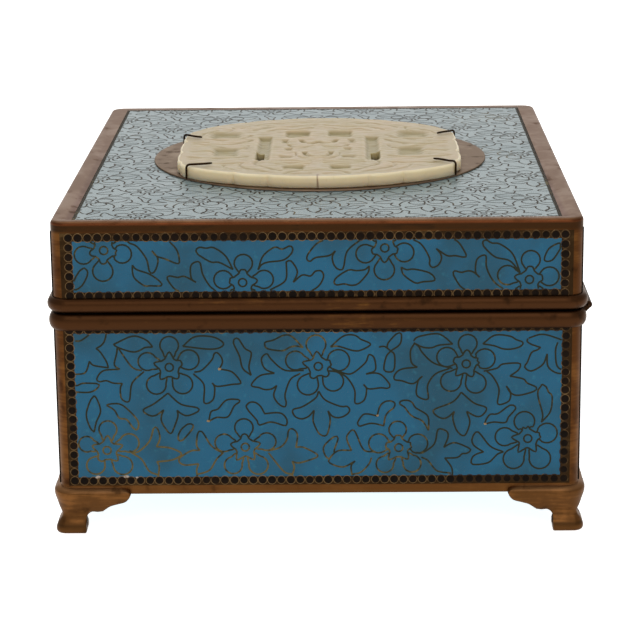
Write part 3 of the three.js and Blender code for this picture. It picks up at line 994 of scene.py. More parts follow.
LOWER_FIRST = Motif(
    """
    -37 16.9 -35.4 16.6 -33 18.8 -32.1 21.4 -31.4 21.5 -30.9 19.5 -31.6 17.7 | -28.9 17.4 -26.8
    16.2 -28.5 15 -31.6 14.6 | -31.2 13.5 -31.5 11.4 /
    -36.8 16.7 -34.6 15.1 -33.2 12.7 -31.5 11.9
    """,
    Flower((-41.3, 17), (
        (-41, 21.3, 1.75), (-45.2, 18.3, 1.6), (-43.6, 13.9, 1.8),
        (-38.3, 13.9, 1.9), (-36.9, 18.5, 1.9),
    )),
)
LOWER_SECOND = Motif(
    """
    -18.6 16.4 -20 15 -21.4 12.8 -23.9 11.9 /
    -23.8 11.5 -23.9 12.9 -23.5 14.1 | -26.2 13.9 -27.3 14.6 -27 15.5 -24.9 16.8 -23.2 16.9 | -23.8
    18 -23.5 20.4 -22.9 20.8 -22.3 20.2 -20.9 17.8 -18.6 16.2 /
    -9.9 16.7 -8 17.2 -6.9 17.9 -6.1 19.2 -5.9 20.6 -5.4 21.2 -4.6 20.9 -4.1 19.8 -4.4 17.4 | -3
    17.4 -0.7 16.2 -0.2 15.6 -0.9 15.1 -3.8 14.2 -5.2 14.5 | -4.8 13.3 -5.3 11.4 /
    -9.8 16.3 -6.9 12.5 -5.3 11.9
    """,
    Flower((-14.3, 17.5), (
        (-14.5, 21.5, 1.8), (-18.4, 18.4, 1.8), (-16.7, 13.8, 1.75),
        (-11.8, 13.8, 1.9), (-10.1, 18.6, 1.8),
    )),
)
LOWER_THIRD = Motif(
    """
    11 16.4 9.3 16.5 8.4 17.4 6.9 20.8 5.6 19.8 5.6 18.6 6.4 16.7 | 3.7 16.6 2.1 15 2.2 14.1 4.7
    13.3 7.1 14.5 | 6.3 13.5 6.5 11.4 /
    10.3 15.2 9.8 13.9 8.2 12.2 6.6 11.8 /
    19 16.2 20.2 16.1 22.2 17.5 22.8 18.7 23.3 20.9 24.9 20.5 25.2 19.3 24.4 17.2 | 25.5 17.9 26.8
    18.1 29.3 17 29.5 16.4 28.7 15.9 28 15.9 27 15.1 24.6 15 | 25.9 13.1 26.1 11.4 /
    20 15.2 21.2 14.6 22.7 12.7 23.6 12.2 25.8 11.9 /
    2 15 1.3 15.6 1 17.5 3 19.5 3.8 19.2 3.1 17 3 16.3
    """,
    Flower((15.6, 17.2), (
        (15.4, 20.9, 1.7), (11.7, 18.1, 1.95), (12.9, 13.8, 1.7),
        (18.2, 13.9, 1.75), (19.3, 18, 1.95),
    )),
)
LOWER_FOURTH = Motif(
    """
    36 16.2 33.4 17.4 31 20.3 29.9 19 30.2 17.6 32.1 16.2 | 30.8 15.8 29.9 15 30 13.7 33 14 34.8
    15.7 36 16.2
    """,
    Flower((40.7, 18.9), (
        (40, 22.4, 2.0), (36.2, 19.3, 1.85), (38, 14.8, 2.05), (43.1, 14.8, 2.1), (44.4, 20, 2.0),
    )),
)
CUT_LEAVES = Motif(
    """
    -46.7 39.2 -45.6 39.3 -44 40.4 /
    -40.6 41 -41 39.3 -41.7 38.3 -42.7 37.7 | -41.9 36.9 -40.8 35 -40.5 33.8 | -43.3 34.3 -44.1
    35.1 | -44.8 33.1 -45.7 32.6 -48 32.5 /
    -48 30 -46.5 30.3 -45.5 30.7 -42.8 30.6 -42.5 30 -44.2 28.9 -48 29 /
    -43.4 28.2 -42.8 27.2 -42.3 25 -43.2 22.8 -43.7 20.8 | -44.4 21.6 -45.1 24.2 -44.3 27 -43.4
    28.2 /
    -41.1 26.2 -40.2 26.5 -38 26.2 -35.2 23.2 -35.2 21.3 -36 21.5 -37.3 23.3 -38.7 23.6 -39.6 25.2
    -41.1 26.2 /
    13.4 37.3 13.6 38.4 15.2 40.2 16.1 40.2 15.9 38.2 14.1 36.8 | 13.2 35.6 12.8 33 14.2 32.6 14.8
    33.4 14.8 36 14.1 36.8 /
    11.8 37.6 12.9 37.7 14.1 36.8 /
    40.5 39.1 40.3 38.6 41 38 42.9 37.3 | 42.3 36.8 41.2 36.3 40.4 34.3 39.9 33.4 41.2 32.6 43.4
    33.9 44.2 36 | 44.4 33.5 46 32.2 48 32 /
    46.2 38.3 45.8 36.6 46.2 33.5 48 32.4 /
    40.6 39.2 43.5 39.9 48 38.4 /
    43.3 29.9 44.1 29.4 44.6 28.3 45.3 27.4 45 24.4 43.3 22.2 | 43.5 23.9 42.5 28 43.3 29.9 /
    32.3 21.9 32.6 22.9 33.4 23.9 34.8 24 37.2 25.7 38.3 25.1 36.9 23.3 36.3 22.2 34 22.3 32.3 21.9
    /
    8 21.6 7.6 22.3 8.6 23.9 9.7 24.1 11.4 23.7 | 12 25.7 13 26.6 14.2 26.7 14.9 26.2 14.6 25.3
    13.6 24.5 13 23.5 12.7 21.7 | 10.3 22.2 8 21.6 /
    15.8 26.5 16.4 26.8 17.5 26.8 18.3 26.3 18.9 25.3 20.8 24.1 21.4 23.1 21.4 20.7 | 20.2 22.6
    18.1 23.7 16.7 25.5 15.9 26 15.8 26.5
    """
)
LOOSE = Motif(
    """
    -15.9 39.5 -15.2 39.4 -14 37.5 -13 36.9 -12.8 36.2 -13.3 33.8 -12.9 32.1 | -14.5 33.5 -15.1 36
    -16.2 38.6 -15.9 39.5 /
    -21.3 22.8 -20.8 24.8 -19.5 25.3 -17.8 27.1 -15.5 27.2 -15.3 26.7 -16.3 25.9 -17.6 23.7 -19.8
    23.6 -21.3 22.8 /
    -14 25.9 -13.3 26.6 -12.2 26.6 -11.2 25.8 -10.4 24.3 | -8 24.5 -6.8 24.1 -6.1 23 -6.2 22 -6.8
    21.9 -9.2 22.6 -11.5 22 -11.9 22.9 -13.6 25 -14 25.9 /
    -27.3 19 -27.3 20 -26.6 21.3 -25.3 22.3 -24.4 22.1 -24.6 21.2 -26.5 19 -27.3 19
    """
)
HANGING_LEFT = Motif(
    """
    -44.5 53.7 -43.9 53.2 -43.9 52.2 -45 50.2 -46.4 49.4 -46.7 50.6 -45.5 52.9 -44.5 53.7 /
    -36.2 59 -35.6 58.5 -34.2 57.8 -32.5 55.4 -32 53 -31.4 52.6 -30.7 53.4 -30.3 55.4 -31.4 57 |
    -30.5 55.9 -29 55.4 -26.9 54.5 -26.2 54.7 -26.6 57 -28.2 59 /
    -35.2 54.2 -34.4 53.3 -32 52.4 -30 50.9 -29.8 50.1 -32 50.1 -33 50.1 -34.7 51.4 -35.2 52.6
    -35.2 54.2
    """,
    Flower((-40.6, 57.1), (
        (-40.9, 53, 1.95), (-37.1, 56.4, 1.8), (-38.4, 60.8, 1.9),
        (-42.8, 60.7, 1.9), (-44.5, 56.2, 1.75),
    )),
)
UPRIGHT = Motif(
    """
    -19.4 49 -20.6 50.1 -21.8 52.3 -22.3 54.6 -23.4 54.6 -24.1 53.7 -24 51.5 -23.1 50.7 | -25.3
    51.9 -26.6 51.7 -28.2 52 -28.6 51.4 -27.3 49.5 -26 48.8 /
    -23 57.1 -22.3 57.6 -21 57.4 -19.6 57.5 -17.4 55.9 -16 53.2 | -18.6 54.6 -20.2 54.7 -22.6 56.2
    -23 57.1 /
    -11.2 53.1 -10.2 55.8 -8 57.5 -6.6 57.1 -5.2 57.7 -4.6 57.4 -4.7 56.4 -6.3 55 -9.2 54.6 -10.5
    54.1 -11.2 53.1 /
    -9 49.1 -6.6 50.4 -5.8 51.6 -5.8 54.6 | -4.9 54.8 -3.7 52.7 -4.5 50.6 | -2.8 52 -1.2 51.8 -0.3
    52.7 0.8 52.8 1.3 52 1 50.8 0.1 49.6 -1.2 48.8
    """,
    Flower((-14.2, 50.6), (
        (-14, 54.4, 1.75), (-17.9, 51.2, 1.8), (-16.6, 46.8, 1.9),
        (-11.8, 46.8, 1.9), (-10.1, 51.2, 1.8),
    )),
)
HANGING = Motif(
    """
    1.8 59 0 58.1 -1.7 56 -1.8 55 -1.2 54.7 -0.2 55.4 2.4 55.8 3.6 56.7 | 3 55.6 3.2 54.2 3.9 53.2
    4.8 53 5.2 53.8 5.9 56.7 8.6 59 /
    10 53.7 9.2 53 7.6 52.8 6 52.9 3.8 51.5 3.3 50.5 3.8 50 5.2 50.2 6.6 49.9 8 50.3 9.8 52.4 10
    53.7 /
    16.1 53.4 17.2 52.9 18.6 53 21.6 52.2 22.5 50.8 20.2 50.5 18.8 50.3 16.6 51.9 16.1 53.4 /
    18 59 20 57.8 21.5 55.2 21.5 54 22.1 53.3 23.2 53.8 23.8 55 23.6 56 22.8 57 | 24.9 55.6 26.4
    55.6 28 55.3 28.5 55.7 27.2 58 26 58.9
    """,
    Flower((13, 57.2), (
        (12.9, 52.9, 1.95), (16.7, 56.3, 1.85), (15.2, 61, 1.9),
        (10.7, 60.9, 1.9), (9.3, 56.1, 1.8),
    )),
)
UPRIGHT_RIGHT = Motif(
    """
    35.6 49 33.7 50.6 32.4 53.2 32.2 55.6 30.6 54.9 30.3 52.4 31.1 51.3 | 30 52.3 28.9 52.6 27.6
    52.3 26.3 52.6 26.1 51.8 27.4 49.6 28.6 48.8 /
    31.7 58.4 32.3 58.6 33.4 58 34.9 57.8 37.3 55.9 38.8 52.2 | 36.8 54.5 34 55.3 31.8 57.4 31.7
    58.4 /
    46.4 56.8 46.2 57.9 44.2 56.8 43.4 54.6 44.9 54.6 46.4 56.8
    """,
    Flower((40.6, 50.8), (
        (40.8, 54.7, 1.8), (36.4, 51.7, 1.9), (38.2, 47, 1.9), (43, 47, 1.9), (44.4, 51.4, 1.85),
    )),
)
BASE_END = (
    UPPER_LEFT, UPPER_MIDDLE, UPPER_RIGHT, LOWER_FIRST, LOWER_SECOND, LOWER_THIRD, LOWER_FOURTH,
    CUT_LEAVES, LOOSE,
)
LID_END = (HANGING_LEFT, UPRIGHT, HANGING, UPRIGHT_RIGHT)


@dataclass
class Drawing:
    """The wires of one enamel field, as open strokes in the field's own plane."""

    HALVINGS = 12

    left: float
    right: float
    low: float
    high: float
    wires: list[Path2] = field(default_factory=list)

    def place(
        self, motif: Motif, shift: Pair = (0, 0), scale: float = 1, mirror_x: bool = False,
        about: Pair = (0, 0),
    ) -> None:
        """Puts a motif in the field, cut where it leaves it.

        Args:
            motif: The motif.
            shift: How far it is moved.
            scale: Its size.
            mirror_x: Whether left and right are exchanged.
            about: The point that it is mirrored and scaled about.
        """
        signs = np.array([-scale if mirror_x else scale, scale])
        middle = np.asarray(about, float)
        for path in motif.wires():
            self.cut((path - middle) * signs + middle + np.asarray(shift))

    def inside(self, points: Path2) -> np.ndarray:
        """Tells which points lie in the field."""
        x, y = points[:, 0], points[:, 1]
        return (x > self.left) & (x < self.right) & (y > self.low) & (y < self.high)

    def cut(self, path: Path2) -> None:
        """Keeps the runs of a stroke that lie inside the field, ended at its border.

        Args:
            path: The stroke.
        """
        kept = self.inside(path)
        run: list[np.ndarray] = []
        for i, point in enumerate(path):
            if kept[i]:
                if not run and i > 0:
                    run.append(self.crossing(path[i], path[i - 1]))
                run.append(point)
            elif run:
                run.append(self.crossing(run[-1], point))
                self.keep(run)
                run = []
        self.keep(run)

    def crossing(self, inner: np.ndarray, outer: np.ndarray) -> np.ndarray:
        """Finds where the border is met between two points.

        Args:
            inner: The point inside.
            outer: The point outside.

        Returns:
            A point just inside the border.
        """
        near, far = 0.0, 1.0
        for _ in range(self.HALVINGS):
            middle = (near + far) / 2
            if self.inside((inner + (outer - inner) * middle)[None])[0]:
                near = middle
            else:
                far = middle
        return inner + (outer - inner) * near

    def keep(self, run: list[np.ndarray]) -> None:
        """Stores a run that is long enough to see."""
        if len(run) > 2:
            self.wires.append(np.asarray(run))

    def edges(self) -> tuple[np.ndarray, list[tuple[int, int]]]:
        """Gathers all wires.

        Returns:
            Their points, laid flat, and the pairs of points they join.
        """
        points: list[np.ndarray] = []
        pairs: list[tuple[int, int]] = []
        for wire in self.wires:
            start = len(points)
            points += [np.array([x, y, 0.0]) for x, y in wire]
            pairs += [(start + i, start + i + 1) for i in range(len(wire) - 1)]
        return np.asarray(points), pairs


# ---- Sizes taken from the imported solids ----


@dataclass(frozen=True)
class Sizes:
    """The box's main sizes in its own plan, in millimetres."""

    length: float
    width: float
    shift_y: float
    underside: float
    base_mouth: float
    lid_mouth: float
    lid_top: float
    plate_top: float
    corner_radius: float = 3.0
    least_radius: float = 0.05
    wall: float = 2.2
    floor: float = 2.0
    lid_ceiling: float = 2.2
    corner_strip: float = 2.05

    @classmethod
    def measure(cls) -> "Sizes":
        """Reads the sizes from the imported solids.

        Returns:
            The sizes.
        """
        low, high = (np.array(corner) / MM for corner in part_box("base_box"))
        rim = np.array(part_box("base_rim")[1]) / MM
        lid_low = np.array(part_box("lid_rim")[0]) / MM
        lid_high = np.array(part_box("lid_box")[1]) / MM
        plate = np.array(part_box("plaque_backing")[1]) / MM
        return cls(
            length=high[0] - low[0],
            width=high[1] - low[1],
            shift_y=(low[1] + high[1]) / 2,
            underside=low[2],
            base_mouth=rim[2],
            lid_mouth=lid_low[2],
            lid_top=lid_high[2],
            plate_top=plate[2],
        )

    def ring(self, grow: float, z: float, steps: int = 14) -> np.ndarray:
        """Returns the plan outline.

        Args:
            grow: How far it stands outside the walls.
            z: Its height.
            steps: How many facets round each corner.

        Returns:
            Its points, counterclockwise seen from above.
        """
        radius = max(self.corner_radius + grow, self.least_radius)
        inset = max(self.corner_radius, self.least_radius - grow)
        points = []
        for corner in range(4):
            along_x = 1 if corner in (0, 3) else -1
            along_y = 1 if corner < 2 else -1
            for step in range(steps + 1):
                angle = (corner + step / steps) * math.pi / 2
                x = along_x * (self.length / 2 - inset) + radius * math.cos(angle)
                y = along_y * (self.width / 2 - inset) + radius * math.sin(angle)
                points.append((x, y, z))
        return np.asarray(points)

    def draft(self) -> MeshDraft:
        """Returns an empty draft in this plan."""
        return MeshDraft(self.shift_y)


# ---- Metal case ----


@dataclass
class MetalCase:
    """The hollow brass walls of base and lid, and the half-round rim of each."""

    sizes: Sizes
    finishes: Finishes
    rim_cap: float = 1.0
    base_rim_height: float = 3.35
    base_rim_proud: float = 0.95
    lid_rim_height: float = 2.85
    lid_rim_proud: float = 1.15
    rim_fullness: float = 1.05
    edge_round: float = 0.75
    floor_round: float = 0.3
    hollow: float = 0.8
    lip: float = 0.6
    lip_width: float = 3.95

    def corner(self, z: float, turned: int, radius: float, steps: int = 5) -> list[np.ndarray]:
        """Returns the rings of a rounded outer edge.

        Args:
            z: The height of the flat face beyond the edge.
            turned: +1 for an upper edge, -1 for a lower one.
            radius: The rounding.
            steps: How many facets it has.

        Returns:
            Rings from the wall to the flat face.
        """
        rings = []
        for step in range(steps + 1):
            angle = math.pi / 2 * step / steps
            grow = radius * (math.cos(angle) - 1)
            rings.append(self.sizes.ring(grow, z + turned * radius * (math.sin(angle) - 1)))
        return rings

    def lipped(self, ring: np.ndarray) -> np.ndarray:
        """Returns a ring of the lid's top edge raised into the lip, full at the right-hand end."""
        share = np.clip(ring[:, :1] / self.sizes.length + 0.5, 0, 1)
        return ring + share * np.array([0.0, 0.0, self.lip])

    def cove(self, flat: float, turned: int) -> list[np.ndarray]:
        """Returns the rings that round off the inside of a wall into a flat face.

        Args:
            flat: The height of the flat face.
            turned: +1 where the wall rises from it, -1 where it hangs.

        Returns:
            Rings from the wall to the flat face.
        """
        s, r = self.sizes, self.hollow
        return [
            s.ring(-s.wall - r + r * math.cos(a), flat + turned * (r - r * math.sin(a)))
            for a in np.linspace(0, math.pi / 2, 5)
        ]

    def base(self) -> None:
        """Builds the base's walls and floor."""
        s = self.sizes
        draft = s.draft()
        mouth = s.base_mouth - self.rim_cap
        rings = [
            *self.corner(s.underside, -1, self.floor_round)[::-1],
            s.ring(0, mouth),
            s.ring(-s.wall, mouth),
            *self.cove(s.underside + s.floor, 1),
        ]
        draft.loft(rings)
        draft.finish("base_case", "base", "patinated_brass", self.finishes.strip, ["base_box"])

    def lid(self) -> None:
        """Builds the lid's walls and top."""
        s = self.sizes
        draft = s.draft()
        mouth = s.lid_mouth + self.rim_cap
        rings = [
            *self.cove(s.lid_top - s.lid_ceiling, -1)[::-1],
            s.ring(-s.wall, mouth),
            s.ring(0, mouth),
            *(self.lipped(ring) for ring in self.corner(s.lid_top, 1, self.edge_round)),
            self.lipped(s.ring(-self.lip_width / 2, s.lid_top)),
            s.ring(-self.lip_width, s.lid_top + self.lip / 10),
            s.ring(-self.lip_width, s.lid_top),
        ]
        draft.loft(rings)
        draft.finish("lid_case", "lid", "patinated_brass", self.finishes.lid_brass, ["lid_box"])

    def rim(self, name: str, body: str, mouth: float, height: float, proud: float, up: int) -> None:
        """Builds one half-round rim over the edge of a wall.

        Args:
            name: The piece's name.
            body: The body it rides on.
            mouth: The height of its flat face.
            height: How tall it is.
            proud: How far it swells.
            up: +1 above the seam, -1 below it.
        """
        s = self.sizes
        middle = mouth + up * height / 2
        section = [(-s.wall, mouth), (-0.1, mouth)]
        for angle in np.linspace(-math.pi / 2, math.pi / 2, 21)[1:-1]:
            bulge = math.cos(angle) ** self.rim_fullness
            section.append((proud * bulge, middle + up * height / 2 * math.sin(angle)))
        section += [(0.0, mouth + up * height), (-0.3, mouth + up * self.rim_cap)]
        section.append((-s.wall, mouth + up * self.rim_cap))
        draft = s.draft()
        draft.loft([s.ring(grow, z) for grow, z in section], closed=True)
        draft.finish(name, body, "patinated_brass", self.finishes.rim, [f"{body}_rim"])

    def build(self) -> None:
        """Builds every metal piece of the case."""
        s = self.sizes
        self.base()
        self.lid()
        self.rim(
            "base_rim_wire", "base", s.base_mouth, self.base_rim_height, self.base_rim_proud, -1
        )
        self.rim("lid_rim_wire", "lid", s.lid_mouth, self.lid_rim_height, self.lid_rim_proud, 1)


# ---- Enamel fields ----


class Side(Enum):
    """The four walls, by the direction they face."""

    FRONT = (0, -1)
    BACK = (0, 1)
    LEFT = (-1, 0)
    RIGHT = (1, 0)


@dataclass
class Field:
    """A flush panel of enamel in its own plane: u to the right, v up, both in millimetres."""

    name: str
    body: str
    matrix: Matrix
    left: float
    right: float
    low: float
    high: float
    drawing: Drawing
    beads: np.ndarray
    bands: list[tuple[float, float, float, float]]


@dataclass
class Cloisonne:
    """All enamel fields with their wires and bead rows."""

    sizes: Sizes
    finishes: Finishes
    base_low: float = 9.75
    base_high: float = 42.4
    lid_low: float = 46.5
    lid_high: float = 60.45
    base_rows: Pair = (10.75, 41.4)
    lid_rows: Pair = (48.15, 59.6)
    base_column: float = 1.17
    lid_column: float = 1.6
    band_past: float = 0.72
    repeat: float = 28.5
    lid_repeat: float = 54.4
    lid_shift: float = 0.6
    top_frame: float = 4.0
    top_clear: float = 0.7
    top_scale: float = 0.78
    top_rise: float = 29.0
    top_origin: Pair = (-1.0, -43.5)
    dot_inset: float = 0.3
    dot_pitch: float = 0.8
    dot_scale: float = 0.42
    ring_radius: float = 0.86
    ring_width: float = 0.15
    dome_radius: float = 0.77
    wire_width: float = 0.35
    rise: float = 0.07
    proud: float = 0.03

    def wall_matrix(self, side: Side) -> Matrix:
        """Works out where a wall's field lies.

        Args:
            side: Which wall.

        Returns:
            The matrix that carries the field's plane, in metres, to the wall.
        """
        nx, ny = side.value
        n = Vector((nx, ny, 0))
        u = Vector((-ny, nx, 0))
        reach = (self.sizes.length / 2 if nx else self.sizes.width / 2) + self.proud
        at = (n * reach + Vector((0, self.sizes.shift_y, 0))) * MM
        return Matrix(
            ((u.x, 0, n.x, at.x), (u.y, 0, n.y, at.y), (0, 1, 0, at.z), (0, 0, 0, 1))
        )

    def half_span(self, side: Side) -> float:
        """Returns half the width of a wall's field."""
        span = self.sizes.width if side.value[0] else self.sizes.length
        return span / 2 - self.sizes.corner_strip

    def row(self, start: Pair, end: Pair, pitch: float = 1.85) -> np.ndarray:
        """Spaces beads evenly along a line.

        Args:
            start: The first centre.
            end: The last centre.
            pitch: About how far apart they are.

        Returns:
            Their centres.
        """
        a, b = np.asarray(start), np.asarray(end)
        count = max(1, round(float(np.linalg.norm(b - a)) / pitch))
        t = np.arange(count + 1)[:, None] / count
        flat = a + (b - a) * t
        return np.column_stack([flat, np.zeros(len(flat))])

    def bead_frame(self, half: float, low: float, high: float) -> np.ndarray:
        """Spaces beads round a rectangle.

        Args:
            half: Half its width.
            low: Its lower edge.
            high: Its upper edge.

        Returns:
            Their centres.
        """
        across = [self.row((-half, z), (half, z)) for z in (low, high)]
        upright = [self.row((u, low), (u, high))[1:-1] for u in (-half, half)]
        return np.vstack(across + upright)

    def wall(
        self, body: str, side: Side, drawing: Drawing, inset: float, rows: Pair, limits: Pair
    ) -> Field:
        """Sets a drawing in a wall's field with its frame of beads.

        Args:
            body: The body the wall belongs to.
            side: Which wall.
            drawing: Its wires.
            inset: How far the upright bead rows lie inside the field.
            rows: The heights of the lower and upper bead row.
            limits: The lowest and highest part of the field.

        Returns:
            The field.
        """
        half = self.half_span(side)
        column = half - inset
        (low, high), (bottom, top) = rows, limits
        edge = self.band_past
        return Field(
            f"{body}_{side.name.lower()}", body, self.wall_matrix(side), -half, half, bottom, top,
            drawing, self.bead_frame(column, low, high),
            [
                (-half, half, bottom, low + edge),
                (-half, half, high - edge, top),
                (-half, -column + edge, low + edge, high - edge),
                (column - edge, half, low + edge, high - edge),
            ],
        )

    def empty(self, side: Side, inset: float, rows: Pair) -> Drawing:
        """Returns an empty drawing that reaches the inner side of the bead frame."""
        column, edge = self.half_span(side) - inset, self.band_past + 0.1
        return Drawing(-column + edge, column - edge, rows[0] + edge, rows[1] - edge)

    def base_wall(self, side: Side) -> Field:
        """Lays out one wall of the base.

        Args:
            side: Which wall.

        Returns:
            Its field.
        """
        drawing = self.empty(side, self.base_column, self.base_rows)
        if side.value[0]:
            for motif in BASE_END:
                drawing.place(motif, mirror_x=side is Side.LEFT)
        else:
            for k in range(-3, 4):
                drawing.place(UPPER_MIDDLE, (k * self.repeat, 0), mirror_x=k % 2 == 0)
                drawing.place(LOWER_SECOND, (k * self.repeat, 0))
                drawing.place(LOOSE, (k * self.repeat, 0))
        limits = (self.base_low, self.base_high)
        return self.wall("base", side, drawing, self.base_column, self.base_rows, limits)

    def lid_wall(self, side: Side) -> Field:
        """Lays out one wall of the lid.

        Args:
            side: Which wall.

        Returns:
            Its field.
        """
        drawing = self.empty(side, self.lid_column, self.lid_rows)
        if side.value[0]:
            for motif in LID_END:
                drawing.place(motif, mirror_x=side is Side.LEFT)
        else:
            for k in range(-1, 2):
                drawing.place(UPRIGHT, (k * self.lid_repeat + self.lid_shift, 0))
                drawing.place(HANGING, (k * self.lid_repeat + self.lid_shift, 0))
        limits = (self.lid_low, self.lid_high)
        return self.wall("lid", side, drawing, self.lid_column, self.lid_rows, limits)

    def top(self) -> Field:
        """Lays out the lid's top.

        Returns:
            Its field.
        """
        s = self.sizes
        half_u, half_v = s.width / 2 - self.top_frame, s.length / 2 - self.top_frame
        u, v, scale = half_u - self.top_clear, half_v - self.top_clear, self.top_scale
        drawing = Drawing(-u, u, -v, v)
        heart = UPPER_MIDDLE.flower.heart
        for row in range(-1, 6):
            for column in range(-3, 4):
                spot = np.array([column * self.repeat, row * self.top_rise]) * scale
                shift = tuple(spot + self.top_origin - heart)
                for motif in (UPPER_MIDDLE, LOWER_SECOND, LOOSE):
                    drawing.place(motif, shift, scale, about=heart)
        matrix = Matrix(
            (
                (0, -1, 0, 0),
                (1, 0, 0, s.shift_y * MM),
                (0, 0, 1, (s.lid_top + self.proud) * MM),
                (0, 0, 0, 1),
            )
        )
        u, v, pitch = half_u - self.dot_inset, half_v - self.dot_inset, self.dot_pitch
        edge = [self.row((-u, at), (u, at), pitch) for at in (-v, v)]
        edge += [self.row((at, -v), (at, v), pitch) for at in (-u, u)]
        return Field(
            "lid_top", "lid", matrix, -half_u, half_u, -half_v, half_v, drawing,
            np.vstack(edge), [],
        )

    def slab(self, draft: MeshDraft, panel: Field) -> None:
        """Adds the enamel of a field: a thin slab with a soft border.

        Args:
            draft: Where it is added.
            panel: The field.
        """
        corners = []
        for inset, n in ((0.0, -0.45), (0.0, -0.03), (0.05, -0.008), (0.16, 0.0)):
            l, r = panel.left + inset, panel.right - inset
            b, t = panel.low + inset, panel.high - inset
            corners.append([(l, b, n), (r, b, n), (r, t, n), (l, t, n)])
        self.in_plane(draft, panel, corners)

    def in_plane(self, draft: MeshDraft, panel: Field, rings: list) -> None:
        """Adds a closed loft that is given in a field's own plane.

        Args:
            draft: Where it is added.
            panel: The field.
            rings: Its rings as u, v and height above the plane.
        """
        back = Matrix.Translation((0, self.sizes.shift_y * MM, 0)).inverted()
        carried = [
            np.array([back @ panel.matrix @ (Vector(p) * MM) for p in ring]) / MM for ring in rings
        ]
        draft.loft(carried)

    def build(self) -> None:
        """Builds the enamel, bands, wires and beads of base and lid."""
        walls = {
            "base": [self.base_wall(side) for side in Side],
            "lid": [self.lid_wall(side) for side in Side] + [self.top()],
        }
        wire_tree = WireTree()
        ring_tree, dome_tree = BeadTree(BeadShape.RING), BeadTree(BeadShape.DOME)
        for body, panels in walls.items():
            self.enamel(body, panels)
            self.bands(body, panels)
            self.wires(body, panels, wire_tree)
            self.beads(body, panels, ring_tree, dome_tree)
        self.losses(next(panel for panel in walls["base"] if panel.name == "base_right"))

    def enamel(self, body: str, panels: list[Field]) -> None:
        """Builds one piece of enamel for each field.

        Args:
            body: The body.
            panels: Its fields.
        """
        for panel in panels:
            draft = self.sizes.draft()
            self.slab(draft, panel)
            side = panel.name.removeprefix(f"{body}_")
            draft.finish(
                f"{panel.name}_enamel", body, "blue_enamel",
                self.finishes.sky if panel.name == "lid_top" else self.finishes.blue,
                [f"{body}_enamel_{side}"],
            )

    def bands(self, body: str, panels: list[Field]) -> None:
        """Builds the dark metal that fills in behind the bead rows.

        Args:
            body: The body.
            panels: Its fields.
        """
        draft = self.sizes.draft()
        for panel in panels:
            for left, right, low, high in panel.bands:
                rings = [
                    [(left, low, n), (right, low, n), (right, high, n), (left, high, n)]
                    for n in (-0.2, 0.012)
                ]
                self.in_plane(draft, panel, rings)
        draft.finish(f"{body}_bead_bands", body, "patinated_brass", self.finishes.band)

    def wires(self, body: str, panels: list[Field], tree: WireTree) -> None:
        """Builds the flush wires.

        Args:
            body: The body.
            panels: Its fields.
            tree: What makes them.
        """
        walls, top = self.sizes.draft(), self.sizes.draft()
        for panel in panels:
            points, pairs = panel.drawing.edges()
            values = {"Width": self.wire_width * MM, "Rise": self.rise * MM, "Sides": 4}
            values["Finish"] = self.finishes.wire
            mesh = tree.run(points, pairs, values)
            (top if panel.name == "lid_top" else walls).take(mesh, panel.matrix)
        walls.finish(f"{body}_flush_wires", body, "patinated_brass", self.finishes.wire)
        if body == "lid":
            top.finish("lid_top_wires", body, "patinated_brass", self.finishes.top_wire)

    def losses(self, panel: Field) -> None:
        """Builds the tiny losses in one wall's enamel and the specks of solder on its wires.

        Args:
            panel: The wall's field.
        """
        rng = np.random.default_rng(5)
        kinds = (
            ("enamel_losses", "blue_enamel", self.finishes.chip,
             ((-43.3, 11.5, 0.55, 0.34), (-37.7, 11.6, 0.5, 0.28), (-35.6, 11.4, 0.3, 0.18))),
            ("solder_specks", "patinated_brass", self.finishes.solder,
             ((-19, 33.4, 0.34, 0.3), (-21.4, 22.9, 0.3, 0.26), (32.4, 22, 0.3, 0.24),
              (11.5, 23.8, 0.26, 0.22))),
        )
        for name, slot, finish, spots in kinds:
            draft = self.sizes.draft()
            for x, y, half_x, half_y in spots:
                turn = np.linspace(0, math.tau, 10)[:-1]
                ragged = 1 + rng.uniform(-0.25, 0.2, len(turn))
                rings = [
                    [
                        (x + half_x * r * k * math.cos(a), y + half_y * r * k * math.sin(a), n)
                        for a, r in zip(turn, ragged)
                    ]
                    for k, n in ((1.0, -0.05), (1.0, 0.02), (0.7, 0.045))
                ]
                self.in_plane(draft, panel, rings)
            draft.finish(f"{panel.name}_{name}", panel.body, slot, finish)

    def beads(
        self, body: str, panels: list[Field], ring_tree: BeadTree, dome_tree: BeadTree
    ) -> None:
        """Builds the bead rows: wire rings and the dark enamel in them.

        Args:
            body: The body.
            panels: Its fields.
            ring_tree: What makes the rings.
            dome_tree: What makes the enamel in them.
        """
        made = self.finishes
        rows = [panel for panel in panels if panel.name != "lid_top"]
        dots = [panel for panel in panels if panel.name == "lid_top"]
        for name, group, scale, wire, filling in (
            (body, rows, 1.0, made.ring, made.bead),
            ("lid_top", dots, self.dot_scale, made.top_wire, made.top_wire),
        ):
            if not group:
                continue
            rings, domes = self.sizes.draft(), self.sizes.draft()
            for number, panel in enumerate(group):
                size = MM * scale
                values = {"Seed": 11 + number, "Rise": self.rise * MM}
                values["Width"] = self.ring_width * size
                ring = dict(values, Radius=self.ring_radius * size, Finish=wire)
                dome = dict(values, Radius=self.dome_radius * size, Finish=filling)
                rings.take(ring_tree.run(panel.beads, [], ring), panel.matrix)
                domes.take(dome_tree.run(panel.beads, [], dome), panel.matrix)
            rings.finish(f"{name}_bead_rings", body, "patinated_brass", wire)
            domes.finish(f"{name}_beads", body, "dark_brass", filling)


# ---- Bracket feet ----


